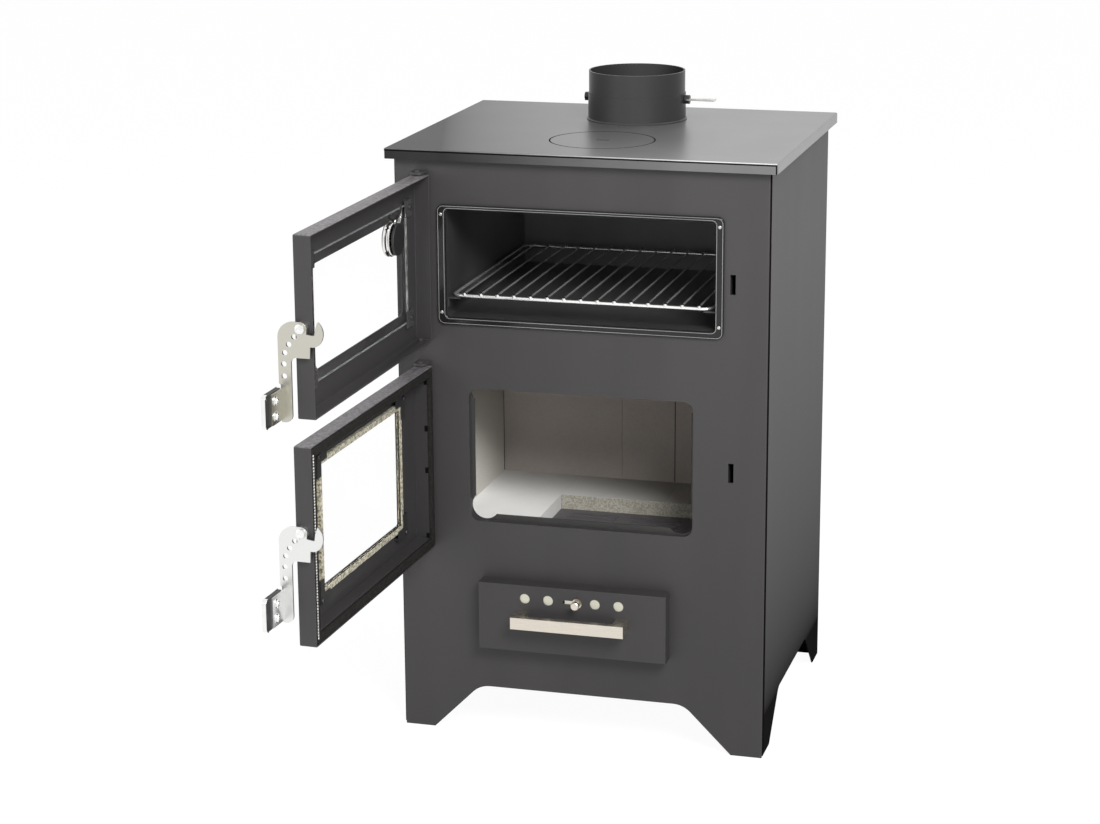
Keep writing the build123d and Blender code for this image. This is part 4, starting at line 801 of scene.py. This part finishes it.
# Lines: painted shade in the grooves behind the front panel's edges, under the hob's fold and around the
# lid's gap, a painted highlight along the hob's edge, and the dark joints of the boards
SEAM_Y = (0.0262, 0.0303)
SEAM_X, SEAM_WIDTH = 0.2237, 0.0052
SEAM_Z, SEAM_HEIGHT = 0.3565, 0.708
HOB_FRONT = 0.014
FOLD_LENGTH, FOLD_WIDTH, FOLD_DEPTH = 0.4690, 0.0014, 0.0006
FOLD_Z = 0.7217
FOLD_END_X, FOLD_END_Z, FOLD_END_HEIGHT = 0.2338, 0.7167, 0.0098
EDGE_Z, EDGE_SIZE = 0.7234, 0.0010
JOINTS_X = (-0.1618, 0.064)
JOINT_Y, JOINT_Z = 0.2488, 0.3645
JOINT_SIZE = (0.0009, 0.0006, 0.189)
LID_RING = (0.0626, 0.0637)
LID_RING_Z = (HOB_TOP - 0.0004, HOB_TOP + 0.0001)
LID_RING_STEPS = 96


# Near-black strips in the gaps beside the front panel's edges: painted shade
def make_seam_shades(bm):
    for side in (-1, 1):
        center = (side * SEAM_X, sum(SEAM_Y) / 2, SEAM_Z)
        block(bm, center, (SEAM_WIDTH, SEAM_Y[1] - SEAM_Y[0], SEAM_HEIGHT), round_by=0.0003)


# Dark strip under the hob's top edge and down its right end: painted shade
def make_hob_fold_shade(bm):
    block(bm, (0, HOB_FRONT, FOLD_Z), (FOLD_LENGTH, FOLD_DEPTH, FOLD_WIDTH), round_by=0.0001)
    end = (FOLD_END_X, HOB_FRONT, FOLD_END_Z)
    block(bm, end, (FOLD_WIDTH, FOLD_DEPTH, FOLD_END_HEIGHT), round_by=0.0001)


# Light strip along the hob's front edge: painted highlight
def make_hob_highlight(bm):
    center = (0, HOB_FRONT + FOLD_DEPTH / 2, EDGE_Z)
    block(bm, center, (FOLD_LENGTH, EDGE_SIZE, EDGE_SIZE), round_by=0.0002)


def make_joints(bm):
    for x in JOINTS_X:
        block(bm, (x, JOINT_Y, JOINT_Z), JOINT_SIZE, round_by=0.0001)


# Dark ring on the hob around the lid's gap: painted shadow
def make_lid_gap_shade(bm):
    inner, outer = LID_RING
    low, high = LID_RING_Z
    angles = [math.tau * i / LID_RING_STEPS for i in range(LID_RING_STEPS)]
    rows = []
    for radius, z in ((inner, low), (outer, low), (outer, high), (inner, high)):
        circle = [LID + Vector((radius * math.cos(a), radius * math.sin(a), z)) for a in angles]
        rows.append([bm.verts.new(point) for point in circle])
    loop_of(bm, rows)


add("seam_shade_strips", make_seam_shades, shade_and_joint_black, "stove")
add("lid_gap_shade", make_lid_gap_shade, shade_and_joint_black, "stove")
add("hob_fold_shade", make_hob_fold_shade, shade_and_joint_black, "stove")
add("hob_edge_highlight_strip", make_hob_highlight, hob_edge_highlight, "stove")
add("board_joints", make_joints, shade_and_joint_black, "stove")

# Painted highlights along the oven rim's edges, and the screws at its corners
RIM_FACE = 0.020
RIM_X = 0.173
RIM_Z = (0.5145, 0.6585)
OVEN_X = 0.163
OVEN_Z = (0.523, 0.653)
RIM_LINE, RIM_LIFT, RIM_LINE_DEPTH = 0.0006, 0.0002, 0.0006
RIM_INSET, MOUTH_OUTSET = 0.0012, 0.0018
RIM_ROUND, MOUTH_ROUND = 0.0068, 0.0062
RIM_SCREW = (0.0021, 0.0012)
RIM_SCREW_X = 0.168
RIM_SCREWS_Z = (0.529, 0.647)


def rounded_loop(half, low, high, radius):
    """Points of an upright rounded rectangle."""
    corners = [(half - radius, high - radius, 0), (radius - half, high - radius, 90),
               (radius - half, low + radius, 180), (half - radius, low + radius, 270)]
    return [p for x, z, start in corners for p in arc(x, z, radius, start, start + 90, 6)]


def make_rim_line(bm, half, low, high, radius):
    """Thin raised line along an upright rounded rectangle on the rim's face."""
    outer = rounded_loop(half, low, high, radius)
    inner = rounded_loop(half - RIM_LINE, low + RIM_LINE, high - RIM_LINE, radius - RIM_LINE)
    front = RIM_FACE - RIM_LIFT
    back = front + RIM_LINE_DEPTH
    rows = [[bm.verts.new((x, y, z)) for x, z in loop]
            for loop, y in ((outer, back), (outer, front), (inner, front), (inner, back))]
    loop_of(bm, rows)


def make_rim_highlights(bm):
    low, high = RIM_Z
    make_rim_line(bm, RIM_X - RIM_INSET, low + RIM_INSET, high - RIM_INSET, RIM_ROUND)
    low, high = OVEN_Z
    make_rim_line(bm, OVEN_X + MOUTH_OUTSET, low - MOUTH_OUTSET, high + MOUTH_OUTSET, MOUTH_ROUND)


def make_rim_screws(bm):
    for x in (-RIM_SCREW_X, RIM_SCREW_X):
        for z in RIM_SCREWS_Z:
            screw_head(bm, Vector((x, RIM_FACE, z)), (0, -1, 0), *RIM_SCREW)


add("rim_highlight_lines", make_rim_highlights, rim_highlight, "stove")
add("rim_screws", make_rim_screws, zinc, "stove")

# Edges of folded and stamped pieces catch the light
FOLD_EDGE = 0.0004
WELD_REACH = 0.00001
for name in ("oven_door_frame", "fire_door_frame", "oven_latch_lever", "fire_latch_lever"):
    weld = nodes[name].modifiers.new("weld", "WELD")
    weld.merge_threshold = WELD_REACH
    soften(nodes[name], FOLD_EDGE)


def studio(name, location, target, size, power):
    """Soft area lamp aimed at a point."""
    lamp = bpy.data.lights.new(name, "AREA")
    lamp.shape = "RECTANGLE"
    lamp.size, lamp.size_y = size
    lamp.energy = power
    holder = bpy.data.objects.new(name, lamp)
    scene.collection.objects.link(holder)
    holder.location = location
    holder.rotation_mode = "QUATERNION"
    holder.rotation_quaternion = (Vector(target) - Vector(location)).to_track_quat("-Z", "Y")


# Camera at the photo's place, as fitted to its straight edges
PHOTO_WIDTH = 1100
FOCAL_PIXELS = 2670.869
SENSOR = 36.0
CAMERA_PLACE = Vector((0.79879, FRONT_Y - 2.94822, 1.23786))
yaw, pitch, roll = 0.27609, 0.26274, 0.00627
forward = Vector((-math.sin(yaw) * math.cos(pitch), math.cos(yaw) * math.cos(pitch), -math.sin(pitch)))
right = Vector((math.cos(yaw), math.sin(yaw), 0))
down = forward.cross(right)
cam_right = right * math.cos(roll) + down * math.sin(roll)
cam_down = down * math.cos(roll) - right * math.sin(roll)
lens = bpy.data.cameras.new("camera")
lens.sensor_width = SENSOR
lens.lens = SENSOR * FOCAL_PIXELS / PHOTO_WIDTH
camera = bpy.data.objects.new("camera", lens)
scene.collection.objects.link(camera)
camera.matrix_world = Matrix.Translation(CAMERA_PLACE) @ Matrix(
    (cam_right, -cam_down, -forward)
).transposed().to_4x4()
scene.camera = camera

# Floor and world: white to the camera, to reflections and through the glass
FLOOR_GLOW, FLOOR_WHITE = 1.06, 0.9
WORLD_LEVEL = 0.38


def seen_directly(tree):
    """1 for what the camera sees, straight, through glass or by reflection, and 0 for soft light."""
    path = tree.nodes.new("ShaderNodeLightPath").outputs
    through = math_of(tree, "MAXIMUM", path["Is Camera Ray"], path["Is Transmission Ray"])
    return math_of(tree, "MAXIMUM", through, path["Is Glossy Ray"])


bpy.ops.mesh.primitive_plane_add(size=14, location=(0, 1.5, 0))
floor = bpy.context.object
floor.name = "studio_floor"
floor_mat, floor_tree, floor_shader = material("studio_floor", (0.86, 0.86, 0.86), 0, 0.9)
glow = floor_tree.nodes.new("ShaderNodeEmission")
glow.inputs["Color"].default_value = (1, 1, 1, 1)
glow.inputs["Strength"].default_value = FLOOR_GLOW
mix = floor_tree.nodes.new("ShaderNodeMixShader")
share = spread(floor_tree, seen_directly(floor_tree), 0, FLOOR_WHITE, 0, 1)
floor_tree.links.new(share, mix.inputs["Fac"])
floor_tree.links.new(floor_shader.outputs[0], mix.inputs[1])
floor_tree.links.new(glow.outputs[0], mix.inputs[2])
floor_tree.links.new(mix.outputs[0], floor_tree.nodes["Material Output"].inputs["Surface"])
floor.data.materials.append(floor_mat)

world = bpy.data.worlds.new("studio")
scene.world = world
world.use_nodes = True
world_tree = world.node_tree
background = world_tree.nodes["Background"]
background.inputs["Color"].default_value = (1, 1, 1, 1)
level = spread(world_tree, seen_directly(world_tree), WORLD_LEVEL, 1.0, 0, 1)
world_tree.links.new(level, background.inputs["Strength"])

studio("key", (1.6, -2.2, 2.5), (0, 0.1, 0.35), (1.3, 1.3), 125)
studio("fill", (-2.4, -2.4, 1.4), (-0.1, 0, 0.5), (1.8, 1.8), 16)
studio("top", (0.3, 1.2, 2.6), (0, 0.25, 0.7), (1.6, 1.2), 12)
studio("side", (2.6, 1.0, 1.4), (0.2, 0.2, 0.5), (1.2, 1.6), 5)
